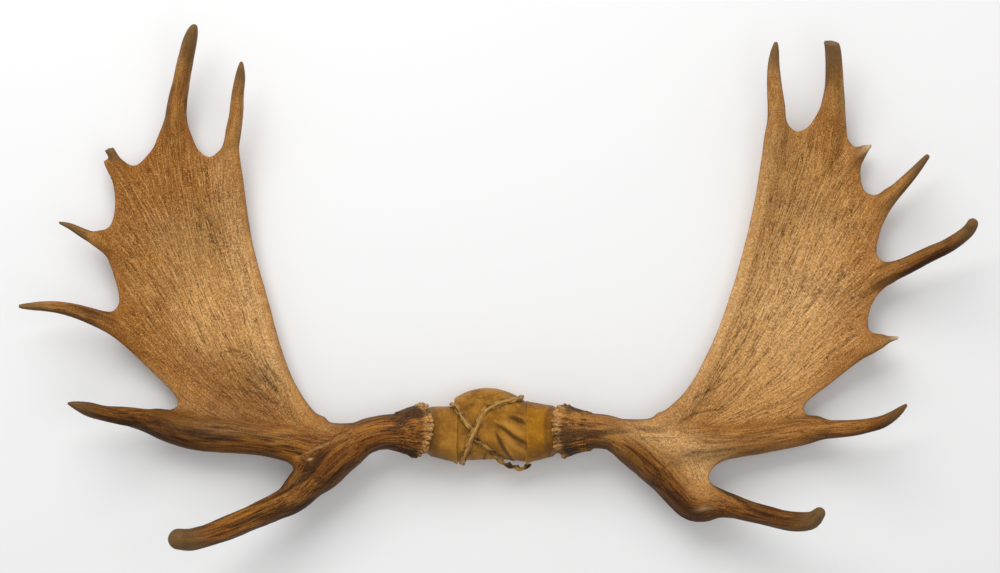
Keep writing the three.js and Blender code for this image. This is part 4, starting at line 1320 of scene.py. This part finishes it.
def cuff(side, material):
    """A cuff from under the burr, where it leans with it, to its free edge over the panel."""
    share = np.linspace(CUFF_TUCK, 1.0, CUFF_ROWS)[:, None]
    inner, outer = CUFF_INNER[side], CUFF_OUTER
    size = outer[:, None, None] + (inner - outer)[:, None, None] * share
    size[2:] -= CUFF_PULL * smoothstep(-share, -0.16, 0.0)
    turns = even_turns(CUFF_AROUND)
    y, z = oval(turns[None], size[2], size[3], size[0], size[1])
    start = BURR_CENTRE[0] - CUFF_START
    x = side * (start + (CUFF_LAP - start) * share)
    x = x - (z - size[1]) * math.tan(side * BURR_TILT) * np.minimum(1 - share, 1)
    x = x + 2.4 * (value_noise(y / 11, z / 11, 70 + side) - 0.5) * smoothstep(share, 0.7, 1.0)
    rows = np.stack([x, y, z], axis=-1)
    rows[..., 2] = np.maximum(rows[..., 2], PANEL_FLAT - 0.2)
    normals = grid_normals(rows)
    normals *= np.sign(normals[:, 0, 1].mean())
    flat = rows.reshape(-1, 3)
    along = np.broadcast_to(share, y.shape).reshape(-1)
    bottom = smoothstep(-flat[:, 1], 30, 46)
    relief = (1.5 * (solid_noise(flat * (1.0, 1.6, 1.6), 20.0, 40 + side) - 0.5)
              + 0.7 * (solid_noise(flat, 7.0, 50 + side) - 0.5)
              + 0.9 * smoothstep(along, 0.86, 1.0) * value_noise(flat[:, 1] / 9, flat[:, 2] / 9, 3)
              + 1.2 * smoothstep(along, 0.88, 1.0) * bottom)
    flat = flat + relief[:, None] * normals.reshape(-1, 3)
    flat[:, 2] = np.maximum(flat[:, 2], PANEL_FLAT - 0.2)
    # The free edge is paler: partly cut edge, partly a painted highlight.
    edge = np.exp(-((1 - along) / 0.035) ** 2)
    # Painted shade on the part tucked under the burr, and a darker patch low on the cuff.
    shade_and_dark_patches = smoothstep(-along, -0.25, 0.0) * 0.9 + spots(flat, [(side * 75, -38, 22, 12, 0, 0.8)])
    shade = np.column_stack([0.5 + relief / 5, edge, np.clip(shade_and_dark_patches, 0, 1), 0 * along])
    faces = grid_faces(len(share), len(turns))
    if side > 0:
        faces = faces[:, ::-1]
    name = "left_cuff" if side < 0 else "right_cuff"
    leather_piece(name + "_suede", flat, faces, shade, material, node=name, flat=(0.055, 0.26),
                  held="stretched", rests_on=["skull_plate"])


cuff(-1, suede("left_cuff_suede", (158, 108, 34), (184, 132, 54), (126, 82, 22)))
cuff(1, suede("right_cuff_suede", (154, 102, 12), (184, 130, 30), (122, 76, 8)))


# ---- Thongs ------------------------------------------------------------------------------
# Two laces of the same buckskin hold the panel down and cross on it. Each is a few narrow
# strips: the front one lies flat with its strips side by side, the rear one is twisted.

THONG_LIFT = 1.9
REAR_ROUTE = [(-58.5, 38.5, 26), (-58.8, 40, 44), (-58.3, 41.5, 60), (-56.5, 41, 67.5), (-52, 35),
              (-46, 25), (-40.5, 18.5), (-36, 12.5), (-30, 6), (-27, -2), (-24, -10.5),
              (-13, -17), (-1, -27), (7.5, -34.5), (17.5, -46.5, 52), (30, -51.5, 43),
              (42, -56, 36), (50.5, -53.5, 30), (55.5, -50.5, 24)]
FRONT_ROUTE = [(44, 52, 28), (43.5, 51.5, 40), (41, 46.5), (33, 46), (24, 45), (12, 42), (5, 39),
               (-4, 35), (-11, 30), (-15.5, 24), (-18.5, 17), (-21, 11, 75.6), (-25, 4, 77.6),
               (-29, -4, 77.6), (-32.5, -12, 75.6), (-35, -21), (-39, -29), (-41.5, -36),
               (-43, -41), (-44.5, -49, 38), (-45, -49.5, 28)]
STRIP_SIDES = 14
STRIP_STEP = 0.8


def lace(name, route, strips, widths, spread, turns, seed, node, material):
    """Strips side by side along a route. Each strip is a flattened oval whose middle stands
    off the route by its share of the spread, in a direction that turns along the way."""
    points = []
    for stop in route:
        if len(stop) == 2:
            z, normal = panel_front(np.array(float(stop[0])), np.array(float(stop[1])))
            points.append(np.array([*stop, float(z)]) + THONG_LIFT * normal)
        else:
            points.append(np.array(stop, float))
    path = smooth_path(points, STRIP_STEP)
    along = np.concatenate([[0], np.cumsum(np.linalg.norm(np.diff(path, axis=0), axis=1))])
    share = along / along[-1]
    way = unit(np.gradient(path, axis=0))
    _, out = panel_front(path[:, 0], path[:, 1])
    out = unit(out - np.sum(out * way, axis=1, keepdims=True) * way)
    aside = np.cross(way, out)
    turn = 2 * np.pi * np.interp(share, *zip(*turns))
    wide = np.interp(share, np.linspace(0, 1, len(widths)), widths)
    apart = np.interp(share, np.linspace(0, 1, len(spread)), spread)
    angle = np.linspace(0, 2 * np.pi, STRIP_SIDES, endpoint=False)
    rows, faces, shades = [], [], []
    for number in range(strips):
        lane = (number / (strips - 1) - 0.5) * 2
        sway = 0.5 * (value_noise(along / 9, 0 * along, seed + 10 * number) - 0.5)
        middle_u = (lane + sway) * apart * np.cos(turn)
        middle_v = (lane + sway) * apart * np.sin(turn) * 0.7 + 0.5 * (number % 2)
        size = wide * (0.8 + 0.4 * value_noise(along / 7, 0 * along, seed + 10 * number + 1))
        lean = turn + 1.6 * (value_noise(along / 14, 0 * along, seed + 10 * number + 2) - 0.5)
        u, v = 0.5 * size[:, None] * np.cos(angle), 0.34 * size[:, None] * np.sin(angle)
        v = v + 0.35 * (value_noise(along[:, None] / 3, 1.5 * np.cos(angle) + 8, seed + number) - 0.5)
        cos, sin = np.cos(lean)[:, None], np.sin(lean)[:, None]
        side = middle_u[:, None] + u * cos - v * sin
        rise = middle_v[:, None] + u * sin + v * cos
        first = sum(map(len, rows))
        rows.append((path[:, None] + side[..., None] * aside[:, None]
                     + rise[..., None] * out[:, None]).reshape(-1, 3))
        faces += (grid_faces(len(path), STRIP_SIDES) + first).tolist()
        last = first + (len(path) - 1) * STRIP_SIDES
        faces.append(list(range(first, first + STRIP_SIDES))[::-1])
        faces.append(list(range(last, last + STRIP_SIDES)))
        # The strips' sides are paler: a painted highlight.
        edge = np.broadcast_to(np.abs(np.cos(angle)) ** 4, v.shape)
        # Strip tops lighter and undersides darker are painted light and shade; every other strip is
        # paler and noise varies the tone.
        tone = 0.14 + 0.3 * (number % 2) + 0.36 * np.sin(angle)[None] + 0.42 * value_noise(
            along[:, None] / 8, 0 * angle[None] + 3 * number, seed + 5)
        shades.append(np.stack([tone, edge, 0 * edge, 0 * edge], axis=-1).reshape(-1, 4))
    mesh = bpy.data.meshes.new(name)
    mesh.from_pydata((np.concatenate(rows) * MM).tolist(), [], faces)
    mesh.shade_smooth()
    layer = mesh.attributes.new("leather", "FLOAT_COLOR", "POINT")
    layer.data.foreach_set("color", np.concatenate(shades).astype(np.float32).ravel())
    mesh.materials.append(material)
    piece = bpy.data.objects.new(name, mesh)
    bpy.context.scene.collection.objects.link(piece)
    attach(piece, "root")
    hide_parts(node)


thong_suede = suede("thong_suede", (126, 84, 28), (204, 156, 80), (72, 45, 10))
lace("rear_strip", REAR_ROUTE, 3, (3.6, 4.2, 4.4, 4.4, 4.8, 5.4, 5.2, 4.2),
     (2.2, 3.2, 3.4, 3.0, 2.8, 3.0, 2.9, 2.2), ((0, 0), (0.4, 0.1), (0.5, 0.5), (1, 4.0)), 61,
     "rear_thong", thong_suede)
lace("front_strip", FRONT_ROUTE, 3, (3.4, 4.3, 4.6, 4.8, 4.6, 4.3, 4.0, 3.6),
     (2.2, 2.8, 3.2, 3.2, 2.8, 2.8, 2.6, 2.2), ((0, 0), (0.5, 0.08), (1, -0.1)), 67,
     "front_thong", thong_suede)
